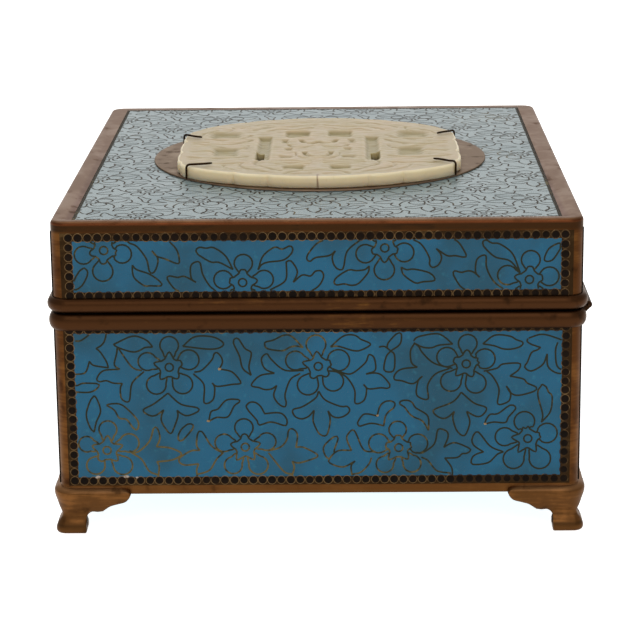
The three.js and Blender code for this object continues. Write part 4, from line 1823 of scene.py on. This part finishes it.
@dataclass
class BracketFeet:
    """Four cast feet, each a corner pad with a scalloped arm along both walls."""

    sizes: Sizes
    finishes: Finishes
    arm: float = 15.3
    pad: float = 6.3
    overlap: float = 1.45
    tip_overlap: float = 0.2
    tip_round: float = 2.9
    proud: float = 1.2
    thickness: float = 2.7
    edge_round: float = 0.45
    pad_reach: float = 7.5
    pad_lean: float = 0.28
    rows: int = 22

    def face(self) -> np.ndarray:
        """Draws the ogee of the outer face.

        Returns:
            How far it stands out, and the height, at each point.
        """
        through = [
            (0.8, 0), (0.95, 0.8), (0.86, 1.3), (0.76, 1.55), (0.68, 1.8),
            (0.3, 2.5), (-0.35, 3.5), (0.45, 5.3), (1.15, 7.4), (1.2, 8.6),
        ]
        return np.vstack([curve_through(through, 0.1), [[0.1, 9.35]]])

    def bottom(self) -> np.ndarray:
        """Draws the lower outline of an arm, from its tip to the pad.

        Returns:
            The distance from the corner, and the height, at each point.
        """
        strokes = [
            [(15.3, 8.0), (14.9, 7.2), (14.1, 6.4), (12.5, 5.9), (11.1, 5.4), (9.6, 4.25)],
            [(9.6, 4.25), (8.6, 4.1), (7.4, 4.15), (6.5, 3.3), (6.2, 1.9), (6.35, 0.6)],
            [(6.35, 0.6), (6.35, 0.25), (6.15, 0.0)],
            [(6.15, 0.0), (5.2, 0.0), (4.25, 0.0)],
        ]
        return np.vstack([curve_through(stroke, 0.3)[:-1] for stroke in strokes] + [[(4.25, 0.0)]])

    def top_height(self, along: np.ndarray) -> np.ndarray:
        """Follows the upper outline.

        Args:
            along: Distances from the corner.

        Returns:
            Its height at each.
        """
        over = np.clip((along - (self.arm - self.tip_round)) / self.tip_round, 0, 1)
        bow = (self.overlap - self.tip_overlap) * np.sqrt(1 - over**2)
        return self.sizes.underside + self.tip_overlap + bow

    def columns(self) -> tuple[np.ndarray, np.ndarray]:
        """Unrolls the foot's skin into columns.

        Returns:
            The distance and height of the lower and the upper end of each.
        """
        low = self.bottom()
        leaning = self.pad + self.pad_lean * low[:, 1]
        lifted = np.where(low[:, 0] < self.pad_reach, leaning, low[:, 0])
        along = np.minimum(np.maximum(low[:, 0], lifted), self.arm)
        along[low[:, 1] == 0] = low[low[:, 1] == 0, 0]
        return low, np.column_stack([along, self.top_height(along)])

    def skin(self, inner: bool) -> np.ndarray:
        """Returns the points of the outer or inner skin, column by column, for one foot.

        Args:
            inner: Whether the skin behind is wanted.

        Returns:
            Points by column, row and axis, for the corner where x and y are largest.
        """
        s = self.sizes
        low, high = self.columns()
        t = ((1 - np.cos(np.linspace(0, math.pi, self.rows))) / 2)[None, :]
        face = self.face()
        corner_x, corner_y = s.length / 2, s.width / 2
        columns = []
        for start, end in zip(low, high):
            line = start[:, None] * (1 - t) + end[:, None] * t
            columns.append((line[0], line[1], self.growth(line[1], t[0], face, inner)))
        sheets = []
        for along, z, grow in columns:
            sheets.append(np.column_stack([corner_x + self.proud - along, corner_y + grow, z]))
        z = low[-1, 1] * (1 - t[0]) + high[-1, 1] * t[0]
        grow = self.growth(z, t[0], face, inner)
        radius = np.maximum(np.interp(z, [3.2, 6.0], [1.3, s.corner_radius]) + grow * 0.9, 0.2)
        for angle in np.linspace(math.pi / 2, 0, 12)[1:-1]:
            out_x, out_y = radius * (1 - math.cos(angle)), radius * (1 - math.sin(angle))
            sheets.append(np.column_stack([corner_x + grow - out_x, corner_y + grow - out_y, z]))
        for along, z, grow in columns[::-1]:
            sheets.append(np.column_stack([corner_x + grow, corner_y + self.proud - along, z]))
        return np.stack(sheets)

    def growth(self, z: np.ndarray, t: np.ndarray, face: np.ndarray, inner: bool) -> np.ndarray:
        """Works out how far a skin stands outside the wall in one column.

        Args:
            z: The heights.
            t: How far up the column each is, from 0 to 1.
            face: The outer face's ogee.
            inner: Whether the skin behind is wanted.

        Returns:
            The growth at each height.
        """
        outer = np.interp(z, face[:, 1], face[:, 0])
        if inner:
            behind = np.where(z > self.sizes.underside - 0.05, 0.02, self.proud - self.thickness)
            return np.minimum(behind, outer - 0.05)
        span = z.max() - z.min()
        near = np.clip(np.minimum(t, 1 - t) * span / self.edge_round, 0, 1)
        return outer - self.edge_round * (1 - np.sqrt(1 - (1 - near) ** 2)) * 0.8

    def build(self) -> None:
        """Builds the four feet."""
        outer, inner = self.skin(False), self.skin(True)
        count, rows = outer.shape[:2]
        faces: list[list[int]] = []
        shell = count * rows
        for i in range(count - 1):
            for j in range(rows - 1):
                a = i * rows + j
                faces.append([a, a + 1, a + rows + 1, a + rows])
                faces.append([shell + a, shell + a + rows, shell + a + rows + 1, shell + a + 1])
            for j in (0, rows - 1):
                a = i * rows + j
                faces.append([a, a + rows, shell + a + rows, shell + a])
        points = np.vstack([outer.reshape(-1, 3), inner.reshape(-1, 3)])
        for name, signs in (
            ("front_left", (-1, -1, 1)), ("front_right", (1, -1, 1)),
            ("back_left", (-1, 1, 1)), ("back_right", (1, 1, 1)),
        ):
            draft = self.sizes.draft()
            draft.add(points * signs, faces)
            draft.loft([ring * signs for ring in self.post()])
            draft.finish(
                f"bracket_foot_{name}", "base", "foot_brass", self.finishes.feet,
                [f"foot_{name}"], sharp=55,
            )

    def post(self) -> list[np.ndarray]:
        """Lays out the solid pad inside the corner.

        Returns:
            Its rings.
        """
        s = self.sizes
        rings = []
        levels = ((0.0, 0.25), (0.25, 0.0), (1.2, 0.0), (3.4, 0.6), (5.0, 0.3), (7.88, -0.4))
        for z, inset in levels:
            far_x = s.length / 2 + self.proud - self.pad + inset
            far_y = s.width / 2 + self.proud - self.pad + inset
            near_x = s.length / 2 - 0.95 - inset * 0.5
            near_y = s.width / 2 - 0.95 - inset * 0.5
            rings.append(self.rounded(far_x, near_x, far_y, near_y, 0.7, z))
        return rings

    def rounded(self, x0: float, x1: float, y0: float, y1: float, r: float, z: float) -> np.ndarray:
        """Draws a rounded rectangle.

        Args:
            x0: Its left side.
            x1: Its right side.
            y0: Its front side.
            y1: Its back side.
            r: The rounding.
            z: Its height.

        Returns:
            Its points.
        """
        points = []
        left, right, low, high = x0 + r, x1 - r, y0 + r, y1 - r
        for k, (x, y) in enumerate(((right, high), (left, high), (left, low), (right, low))):
            for step in range(5):
                a = (k + step / 4) * math.pi / 2
                points.append((x + r * math.cos(a), y + r * math.sin(a), z))
        return np.asarray(points)


# ---- Hinge ----


@dataclass
class BarrelHinge:
    """Five barrels on one pin in the groove between the rims, soldered to them by turns."""

    sizes: Sizes
    finishes: Finishes
    knuckles: int = 5
    radius: float = 0.72
    bore: float = 0.42
    pin: float = 0.35
    chamfer: float = 0.08

    def hoops(self, line: Pair, profile: Iterable[Pair], sides: int) -> list[np.ndarray]:
        """Draws circles round the hinge's line.

        Args:
            line: The line's y and z.
            profile: The place along the line and the radius of each circle.
            sides: How many points each has.

        Returns:
            The circles in order.
        """
        turn = np.linspace(0, math.tau, sides + 1)[:-1]
        y, z = np.cos(turn), np.sin(turn)
        return [
            np.column_stack([np.full(sides, x), line[0] + r * y, line[1] + r * z])
            for x, r in profile
        ]

    def tube(self, draft: MeshDraft, line: Pair, ends: Pair) -> None:
        """Adds one hollow barrel with softened ends.

        Args:
            draft: Where it is added.
            line: The line's y and z.
            ends: Where it begins and ends.
        """
        (low, high), c = ends, self.chamfer
        profile = (
            (low, self.bore), (low, self.radius - c), (low + c, self.radius),
            (high - c, self.radius), (high, self.radius - c), (high, self.bore),
        )
        draft.loft(self.hoops(line, profile, 28), closed=True)

    def fillet(self, draft: MeshDraft, line: Pair, ends: Pair, up: int) -> None:
        """Adds the solder between a barrel and its own rim.

        Args:
            draft: Where it is added.
            line: The line's y and z.
            ends: Where it begins and ends.
            up: +1 for the lid's rim, -1 for the base's.
        """
        outline_yz = (
            (-1.0, 0.24), (-0.2, 0.24), (0.3, 0.62), (0.16, 0.82), (-0.16, 1.12), (-0.4, 1.42),
            (-1.0, 1.3),
        )
        rings = [
            np.array([(x, line[0] + dy, line[1] + up * dz) for dy, dz in outline_yz]) for x in ends
        ]
        draft.loft(rings)

    def build(self) -> None:
        """Builds the barrels of base and lid, and the pin."""
        low, high = (np.array(corner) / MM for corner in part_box("hinge_pin"))
        line = ((low[1] + high[1]) / 2 - self.sizes.shift_y, (low[2] + high[2]) / 2)
        for body, first, up in (("base", 0, -1), ("lid", 1, 1)):
            draft = self.sizes.draft()
            names = [f"hinge_knuckle_{k + 1}" for k in range(first, self.knuckles, 2)]
            for name in names:
                start, end = (corner.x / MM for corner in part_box(name))
                self.tube(draft, line, (start, end))
                self.fillet(draft, line, (start + 0.15, end - 0.15), up)
            if body == "base":
                self.add_pin(draft, line, (low[0], high[0]))
                names.append("hinge_pin")
            draft.finish(f"{body}_hinge_barrels", body, "dark_brass", self.finishes.hinge, names)

    def add_pin(self, draft: MeshDraft, line: Pair, ends: Pair) -> None:
        """Adds the pin with domed ends.

        Args:
            draft: Where it is added.
            line: The line's y and z.
            ends: Where it begins and ends.
        """
        low, high = ends
        profile = (
            (low, 0.12), (low + 0.05, 0.24), (low + 0.14, self.pin),
            (high - 0.14, self.pin), (high - 0.05, 0.24), (high, 0.12),
        )
        draft.loft(self.hoops(line, profile, 16))


# ---- Plaque ----


@dataclass(frozen=True)
class Window:
    """A rounded window sunk into the stone, centred at x, y."""

    x: float
    y: float
    half_x: float
    half_y: float
    depth: float
    soft: float = 0.9

    def sunk(self, x: np.ndarray, y: np.ndarray) -> np.ndarray:
        """Works out how deep the window is.

        Args:
            x: Places along x.
            y: Places along y.

        Returns:
            The depth at each point.
        """
        dx, dy = np.abs(x - self.x), np.abs(y - self.y)
        corner = min(self.half_x, self.half_y) * 0.55
        qx, qy = dx - self.half_x + corner, dy - self.half_y + corner
        outside = np.hypot(np.maximum(qx, 0), np.maximum(qy, 0)) - corner
        distance = outside + np.minimum(np.maximum(qx, qy), 0)
        return self.depth * smoothstep(self.soft * 0.4, -self.soft, distance)


@dataclass(frozen=True)
class Cut:
    """A groove along a smooth line, given as pairs of x and y."""

    line: str
    width: float = 0.55
    depth: float = 0.45

    def sunk(self, x: np.ndarray, y: np.ndarray) -> np.ndarray:
        """Works out how deep the groove is.

        Args:
            x: Places along x.
            y: Places along y.

        Returns:
            The depth at each point.
        """
        line = curve_through(np.array(self.line.split(), float).reshape(-1, 2), 0.9)
        best = np.full(x.shape, 1e9)
        for a, b in zip(line, line[1:]):
            d = b - a
            length = max(float(d @ d), 1e-9)
            t = np.clip(((x - a[0]) * d[0] + (y - a[1]) * d[1]) / length, 0, 1)
            best = np.minimum(best, np.hypot(x - a[0] - t * d[0], y - a[1] - t * d[1]))
        return self.depth * smoothstep(self.width, self.width * 0.15, best)


# The cuts on the side where y is positive, which the other side repeats.
CARVING = (
    Window(-13.2, 4.7, 3.7, 2.8, 1.0),
    Window(23.6, 4.9, 2.0, 2.3, 0.9),
    Window(3.2, 11.6, 13.2, 1.55, 1.0),
    Window(10.6, 12.2, 4.3, 0.85, 2.6, 0.2),
    Window(-12.4, 20.6, 3.6, 3.6, 0.8, 1.6),
    Window(6.9, 19.6, 4.6, 2.9, 0.9, 1.4),
    Window(4.4, 6.3, 1.6, 0.9, 0.9),
    Window(-4.6, 7.2, 2.2, 0.8, 0.8),
    Window(12.6, 6.6, 1.5, 1.6, 0.6),
    Cut("-3.6 0 -2.2 1.4 -3.2 3 -6 3.8", 0.8, 0.8),
    Cut("12.4 0 11.9 1.8 9.6 2.7 7.6 2.8", 0.8, 0.8),
    Cut("14.6 0 14.1 2.6 11.8 4.4 8.4 4.7", 0.35, 0.35),
    Cut("0.8 1 2.4 3 1.6 5.4 -0.8 6.4", 0.5, 0.5),
    Cut("16.9 1.4 16.9 9.6", 0.45, 0.5),
    Cut("18.9 1.4 18.9 9.8", 0.45, 0.5),
    Cut("20.6 1.7 20.6 8.6", 0.35, 0.35),
    Cut("-20.5 1.5 -18.4 4.8 -18.6 9 -16 11.5", 0.55, 0.4),
    Cut("-23.6 1 -21.9 6.2 -21 11.4 -17.6 14.4", 0.5, 0.35),
    Cut("-27.4 0 -26.6 6.6 -24.6 12.6 -20.8 17.4", 0.5, 0.3),
    Cut("-11 14.8 -7.6 17 -6.4 20.6 -7.6 24.6", 0.6, 0.4),
    Cut("-6.2 14.6 -2.6 17.2 -0.8 21.4 -1.8 27.6", 0.6, 0.45),
    Cut("-17.4 22.6 -14 25.4 -9.4 26.4", 0.5, 0.35),
    Cut("6.3 21.8 6.2 25.4 6.6 29.4", 0.7, 0.55),
    Cut("-3.4 24 -3.7 27 -3.5 29.4", 0.5, 0.4),
    Cut("12.4 15 13.8 19.4 13.4 24.6 11.6 29.2", 0.6, 0.45),
    Cut("18.6 14.6 19.6 19.4 19.2 24.8 17.8 28.8", 0.6, 0.5),
    Cut("16.2 12 19.8 13 24 10.4 27.2 7.4", 0.5, 0.4),
    Cut("19.4 15.6 22.6 16 26.2 12.8 29.2 9.2", 0.5, 0.4),
    Cut("21.6 19.4 24.6 18.6 27.8 15.2 30.2 11.6", 0.5, 0.35),
    Cut("22.8 23.6 25.2 22.2 28.2 18.6", 0.5, 0.35),
    Cut("27 0 27.4 3.2 29 5.8 31.6 7.4", 0.5, 0.4),
    Cut("30.6 1.4 30.6 4.6 31.8 7.2", 0.45, 0.35),
    Cut("-20.6 19.2 -17.2 19.6 -14.8 22.6", 0.45, 0.3),
    Cut("0.8 15 3.4 16 2.6 19.6 0.6 23", 0.5, 0.35),
)


@dataclass
class CarvedPlaque:
    """The pale stone plaque: a pierced fret in the middle, lobed leaves to both sides."""

    sizes: Sizes
    finishes: Finishes
    centre_x: float = 0.8
    half_width: float = 29.9
    arch_centres: Pair = (-5.8, 2.0)
    arch_radii: Pair = (39.4, 34.6)
    squareness: float = 24.0
    cusp_width: float = 2.2
    cusp_depth: float = 0.6
    thickness: float = 2.6
    edge_round: float = 0.55
    border_depth: float = 0.08
    grid: Pair = (36.0, 32.0)
    step: float = 0.3
    cusps: tuple[float, ...] = (18, 31, 58, 76, 100, 124, 149, 162)

    def radius(self, angle: np.ndarray) -> np.ndarray:
        """Follows the outline.

        Args:
            angle: Directions from the plaque's middle.

        Returns:
            The outline's distance in each.
        """
        s, c = np.sin(angle), np.cos(angle)
        side = self.half_width / np.maximum(np.abs(s), 0.05)
        centre = np.where(c > 0, *self.arch_centres)
        arch_radius = np.where(c > 0, *self.arch_radii)
        arch = centre * c + np.sqrt(arch_radius**2 - (centre * s) ** 2)
        power = self.squareness
        whole = (arch**-power + side**-power) ** (-1 / power)
        degrees = np.degrees(np.abs(np.arctan2(s, c)))[..., None]
        cut = np.exp(-np.abs(degrees - np.asarray(self.cusps)) / self.cusp_width).max(-1)
        return whole - self.cusp_depth * cut

    def sunk(self, x: np.ndarray, y: np.ndarray) -> np.ndarray:
        """Works out the carving of the face.

        Args:
            x: Places along x.
            y: Places along y.

        Returns:
            The depth in millimetres at each point.
        """
        depth = np.zeros_like(x)
        mirrored = np.abs(y + 0.3)
        for cut in CARVING:
            depth = np.maximum(depth, cut.sunk(x, mirrored))
        crown = 0.1 * np.cos(mirrored * 1.05) * np.cos(x * 0.62)
        crown += 0.07 * np.cos(y * 0.9 + np.sin(x * 0.7) * 1.8) * np.cos(x * 2.1 + 0.4 * np.sin(y))
        radial = np.hypot(x, y) / np.maximum(self.radius(np.arctan2(y, x)), 1)
        rim = smoothstep(0.955, 0.9, radial)
        depth = np.where(depth > 1.1, depth, depth * 0.8)
        return np.clip(depth * rim + crown * rim + 0.12, 0, self.thickness - 0.05)

    def build(self) -> None:
        """Builds the plaque as a fine carved face on a plain slab."""
        bottom = self.sizes.plate_top + 0.05
        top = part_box("carved_plaque")[1].z / MM
        ticks = (np.arange(-reach, reach + 0.01, self.step) for reach in self.grid)
        gx, gy = np.meshgrid(*ticks, indexing="ij")
        within = np.hypot(gx, gy) < self.radius(np.arctan2(gy, gx)) - self.step * 0.35
        cell = within[:-1, :-1] & within[1:, :-1] & within[:-1, 1:] & within[1:, 1:]
        cells_round = np.zeros(gx.shape, int)
        for dx in (0, 1):
            for dy in (0, 1):
                cells_round[dx : dx + cell.shape[0], dy : dy + cell.shape[1]] += cell
        used = cells_round > 0
        border = used & (cells_round < 4)
        number = -np.ones(gx.shape, int)
        number[used] = np.arange(used.sum())
        x, y = gx.copy(), gy.copy()
        angle = np.arctan2(y, x)
        edge = self.radius(angle) - self.edge_round
        x[border], y[border] = (edge * np.cos(angle))[border], (edge * np.sin(angle))[border]
        depth = self.sunk(x, y)
        depth[border] = self.border_depth
        face = np.column_stack([x[used] + self.centre_x, y[used], top - depth[used]])
        quads = [
            [number[i, j], number[i + 1, j], number[i + 1, j + 1], number[i, j + 1]]
            for i, j in zip(*np.nonzero(cell))
        ]
        draft = self.sizes.draft()
        draft.add(face, quads, depths=depth[used] / self.thickness)
        loop = self.border_loop(draft)
        self.add_edge(draft, loop, bottom, top - self.border_depth)
        draft.finish(
            "jade_plaque", "lid", "pale_jade", self.finishes.stone, ["carved_plaque"], sharp=70
        )

    def border_loop(self, draft: MeshDraft) -> list[bmesh.types.BMVert]:
        """Follows the face's border.

        Args:
            draft: The draft that holds the face.

        Returns:
            The border's points in order.
        """
        edges = [edge for edge in draft.bm.edges if edge.is_boundary]
        links: dict[bmesh.types.BMVert, list[bmesh.types.BMVert]] = {}
        for edge in edges:
            a, b = edge.verts
            links.setdefault(a, []).append(b)
            links.setdefault(b, []).append(a)
        start = edges[0].verts[0]
        loop, last, current = [start], start, links[start][0]
        while current is not start:
            loop.append(current)
            ahead = [v for v in links[current] if v is not last]
            last, current = current, ahead[0]
        return loop

    def add_edge(
        self, draft: MeshDraft, loop: list[bmesh.types.BMVert], bottom: float, top: float
    ) -> None:
        """Adds the rounded edge, the side and the back below the face's border.

        Args:
            draft: The draft that holds the face.
            loop: The border of the face, in order.
            bottom: The height of the back.
            top: The height of the border.
        """
        shift = draft.shift
        flat = np.array([np.array(v.co) / MM - shift for v in loop])
        flat[:, 0] -= self.centre_x
        angle = np.arctan2(flat[:, 1], flat[:, 0])
        radius = np.hypot(flat[:, 0], flat[:, 1])
        edge = self.edge_round
        levels = [
            (edge * math.sin(turn), top - edge * (1 - math.cos(turn)))
            for turn in np.linspace(0, math.pi / 2, 6)[1:]
        ]
        levels += [(edge * 1.02, (top + bottom) / 2), (edge, bottom + 0.15), (edge - 0.2, bottom)]
        previous = loop
        for grow, z in levels:
            ring = []
            for a, r in zip(angle, radius):
                wave = 0.05 * math.sin(a * 23) + 0.04 * math.sin(a * 41 + 1)
                out = r + grow + wave * (grow > 0.2)
                spot = np.array([self.centre_x + out * math.cos(a), out * math.sin(a), z])
                vertex = draft.bm.verts.new((spot + shift) * MM)
                # A depth below zero marks the side, which the stone's material paints with a pale
                # lit tone (painted light).
                vertex[draft.depth] = -0.25
                ring.append(vertex)
            for k in range(len(ring)):
                n = (k + 1) % len(ring)
                draft.bm.faces.new([previous[k], previous[n], ring[n], ring[k]])
            previous = ring
        draft.bm.faces.new(previous)


@dataclass
class PlaqueSetting:
    """The round plate under the plaque and the four bent wires that hold it."""

    sizes: Sizes
    finishes: Finishes
    plaque: CarvedPlaque
    wire: float = 0.23
    clear: float = 0.12
    bow: float = 0.7
    reach: float = 5.4
    bends: dict[str, Pair] = field(
        default_factory=lambda: {
            "right_front": (-50, -25), "right_back": (53, 2),
            "left_back": (115, 18), "left_front": (-110, -21),
        }
    )

    def plate(self) -> None:
        """Builds the thin round plate with its softly turned rim."""
        low, high = (np.array(corner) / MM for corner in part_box("plaque_backing"))
        radius = (high[0] - low[0]) / 2
        turn = np.linspace(0, math.tau, 145)[:-1]
        rings = []
        for inset, z in (
            (0.15, low[2]), (0.0, low[2] + 0.1), (0.0, high[2] - 0.12), (0.06, high[2] - 0.03),
            (0.22, high[2]), (1.0, high[2] - 0.03), (2.0, high[2] - 0.05),
        ):
            r = radius - inset
            rings.append(np.column_stack([r * np.cos(turn), r * np.sin(turn), np.full(144, z)]))
        draft = self.sizes.draft()
        draft.loft(rings)
        draft.finish(
            "round_plate", "lid", "backing_metal", self.finishes.plate, ["plaque_backing"]
        )

    def path(self, degrees: float, lean: float) -> np.ndarray:
        """Draws the middle line of one bent wire.

        Args:
            degrees: Where on the plaque's edge it stands.
            lean: How far it turns away from the middle.

        Returns:
            Its points.
        """
        angle, turned = math.radians(degrees), math.radians(degrees + lean)
        clear = self.wire + self.clear
        edge = float(self.plaque.radius(np.array(angle))) + clear
        middle = np.array([self.plaque.centre_x, 0, 0])
        corner = middle + edge * np.array([math.cos(angle), math.sin(angle), 0])
        inwards = np.array([-math.cos(turned), -math.sin(turned), 0])
        across = np.array([-inwards[1], inwards[0], 0])
        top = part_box("carved_plaque")[1].z / MM + clear
        foot = self.sizes.plate_top + 0.02
        up = np.array([0, 0, 1.0])
        points = [corner + up * z for z in np.linspace(foot, top - self.bow, 5)]
        for a in np.linspace(0, math.pi / 2, 7)[1:]:
            drop, ahead = self.bow * (1 - math.sin(a)), self.bow * (1 - math.cos(a))
            points.append(corner + up * (top - drop) + inwards * ahead)
        for r in np.linspace(0.9, self.reach, 9)[1:]:
            sway = 0.12 * math.sin(r * 1.3)
            points.append(corner + up * (top - 0.02 * math.sin(r)) + inwards * r + across * sway)
        return np.asarray(points)

    def sweep(self, draft: MeshDraft, path: np.ndarray, sides: int = 10) -> None:
        """Adds a round wire along a path, tapered a little at its ends.

        Args:
            draft: Where it is added.
            path: Its middle line.
            sides: How many sides it has.
        """
        steps = np.gradient(path, axis=0)
        steps /= np.linalg.norm(steps, axis=1)[:, None]
        normal = np.cross(steps[0], [0.31, 0.87, 0.2])
        rings = []
        for k, (point, along) in enumerate(zip(path, steps)):
            normal = normal - along * (normal @ along)
            normal /= np.linalg.norm(normal)
            other = np.cross(along, normal)
            radius = self.wire * (0.75 if k in (0, len(path) - 1) else 1.0)
            turn = np.linspace(0, math.tau, sides + 1)[:-1, None]
            rings.append(point + radius * (np.cos(turn) * normal + np.sin(turn) * other))
        draft.loft(rings)

    def build(self) -> None:
        """Builds the plate and the wires."""
        self.plate()
        for name, (degrees, lean) in self.bends.items():
            draft = self.sizes.draft()
            self.sweep(draft, self.path(degrees, lean))
            draft.finish(
                f"holding_wire_{name}", "lid", "dark_brass", self.finishes.staple,
                [f"staple_{name}"], sharp=60,
            )


# ---- Inside and underneath ----


@dataclass
class Linings:
    """Plain enamel inside base and lid and under the floor."""

    sizes: Sizes
    finishes: Finishes
    thickness: float = 0.25
    cove: float = 0.9
    from_mouth: float = 1.6

    def tray(self, name: str, body: str, mouth: float, end: float) -> None:
        """Builds a thin lining that runs up or down the walls and over the flat face.

        Args:
            name: The piece's name.
            body: The body it rides on.
            mouth: The height where it begins on the walls.
            end: The height of the flat face it covers.
        """
        s = self.sizes
        towards = 1 if mouth > end else -1
        rings = [
            s.ring(-s.wall + 0.05, end - towards * 0.1),
            s.ring(-s.wall + 0.05, mouth),
            s.ring(-s.wall - self.thickness * 0.5, mouth),
            s.ring(-s.wall - self.thickness, mouth - towards * 0.35),
        ]
        for a in np.linspace(0, math.pi / 2, 6):
            grow = -s.wall - self.thickness - self.cove + self.cove * math.cos(a)
            z = end + towards * (self.thickness + self.cove * (1 - math.sin(a)))
            rings.append(s.ring(grow, z))
        draft = s.draft()
        draft.loft(rings)
        draft.finish(name, body, "blue_enamel", self.finishes.lining)

    def underside(self) -> None:
        """Builds the plain field under the floor."""
        low, high = (np.array(corner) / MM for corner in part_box("base_enamel_underside"))
        s = self.sizes
        rings = []
        for inset, z in ((0.0, high[2]), (0.0, low[2]), (0.3, low[2] - 0.04)):
            x, y = high[0] - inset, (high[1] - low[1]) / 2 - inset
            rings.append(np.array([(-x, -y, z), (x, -y, z), (x, y, z), (-x, y, z)]))
        draft = s.draft()
        draft.loft(rings)
        draft.finish(
            "underside_enamel", "base", "blue_enamel", self.finishes.lining,
            ["base_enamel_underside"],
        )

    def build(self) -> None:
        """Builds the linings."""
        s = self.sizes
        self.tray("base_lining", "base", s.base_mouth - self.from_mouth, s.underside + s.floor)
        self.tray("lid_lining", "lid", s.lid_mouth + self.from_mouth, s.lid_top - s.lid_ceiling)
        self.underside()


# ---- Studio ----


@dataclass
class Studio:
    """The floor, the soft lights and the camera."""

    finishes: Finishes
    lens: float = 130.84
    camera_at: Triple = (0.495, 0.005815, 0.1602)
    yaw: float = -0.768
    pitch: float = 15.202
    roll: float = -0.599
    sky_strength: float = 0.62
    floor_half: float = 12.0

    def camera(self) -> None:
        """Places the camera a little above the box, in line with its right-hand end."""
        yaw, pitch, roll = (math.radians(v) for v in (self.yaw, self.pitch, self.roll))
        ahead = Vector(
            (-math.cos(yaw) * math.cos(pitch), math.sin(yaw) * math.cos(pitch), -math.sin(pitch))
        )
        level = Vector((math.sin(yaw), math.cos(yaw), 0))
        above = level.cross(ahead)
        right = math.cos(roll) * level + math.sin(roll) * above
        up = math.cos(roll) * above - math.sin(roll) * level
        data = bpy.data.cameras.new("camera")
        data.lens = self.lens
        data.sensor_width = 36
        data.clip_start = 0.02
        data.clip_end = 50
        camera = bpy.data.objects.new("camera", data)
        matrix = Matrix((right, up, -ahead)).transposed().to_4x4()
        matrix.translation = Vector(self.camera_at)
        camera.matrix_world = matrix
        bpy.context.scene.collection.objects.link(camera)
        bpy.context.scene.camera = camera

    def lamp(self, name: str, at: Triple, aim: Triple, size: float, power: float) -> None:
        """Hangs one square soft light.

        Args:
            name: Its name.
            at: Where it hangs, in metres.
            aim: The point it faces.
            size: Its side.
            power: Its power in watts.
        """
        data = bpy.data.lights.new(name, "AREA")
        data.size = size
        data.energy = power
        light = bpy.data.objects.new(name, data)
        light.location = at
        facing = Vector(aim) - Vector(at)
        light.rotation_euler = facing.to_track_quat("-Z", "Y").to_euler()
        light.visible_camera = False
        bpy.context.scene.collection.objects.link(light)

    def floor(self) -> None:
        """Lays a wide plain floor."""
        mesh = bpy.data.meshes.new("studio_floor")
        r = self.floor_half
        mesh.from_pydata([(-r, -r, 0), (r, -r, 0), (r, r, 0), (-r, r, 0)], [], [(0, 1, 2, 3)])
        mesh.materials.append(self.finishes.floor)
        floor = bpy.data.objects.new("studio_floor", mesh)
        bpy.context.scene.collection.objects.link(floor)

    def build(self) -> None:
        """Sets up the whole studio."""
        scene = bpy.context.scene
        scene.view_settings.view_transform = "Standard"
        world = bpy.data.worlds.new("studio")
        world.use_nodes = True
        sky = world.node_tree.nodes["Background"]
        sky.inputs["Color"].default_value = (1, 1, 1, 1)
        sky.inputs["Strength"].default_value = self.sky_strength
        scene.world = world
        self.floor()
        self.lamp("overhead", (-0.2, -0.1, 1.2), (0, 0, 0), 0.9, 3)
        self.lamp("front_fill", (1.15, 0.1, 0.95), (0, 0, 0.05), 1.0, 6)
        self.lamp("back_screen", (-2.4, 0, 0.9), (0, 0, 0.05), 2.4, 10)
        self.camera()


def main(frame: dict) -> None:
    """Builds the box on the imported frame.
    """
    logging.basicConfig(level=logging.INFO, format="%(message)s")
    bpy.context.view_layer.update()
    sizes = Sizes.measure()
    finishes = Finishes()
    plaque = CarvedPlaque(sizes, finishes)
    MetalCase(sizes, finishes).build()
    Cloisonne(sizes, finishes).build()
    BracketFeet(sizes, finishes).build()
    BarrelHinge(sizes, finishes).build()
    plaque.build()
    PlaqueSetting(sizes, finishes, plaque).build()
    Linings(sizes, finishes).build()
    Studio(finishes).build()


if __name__ == "__main__":
    main(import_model())
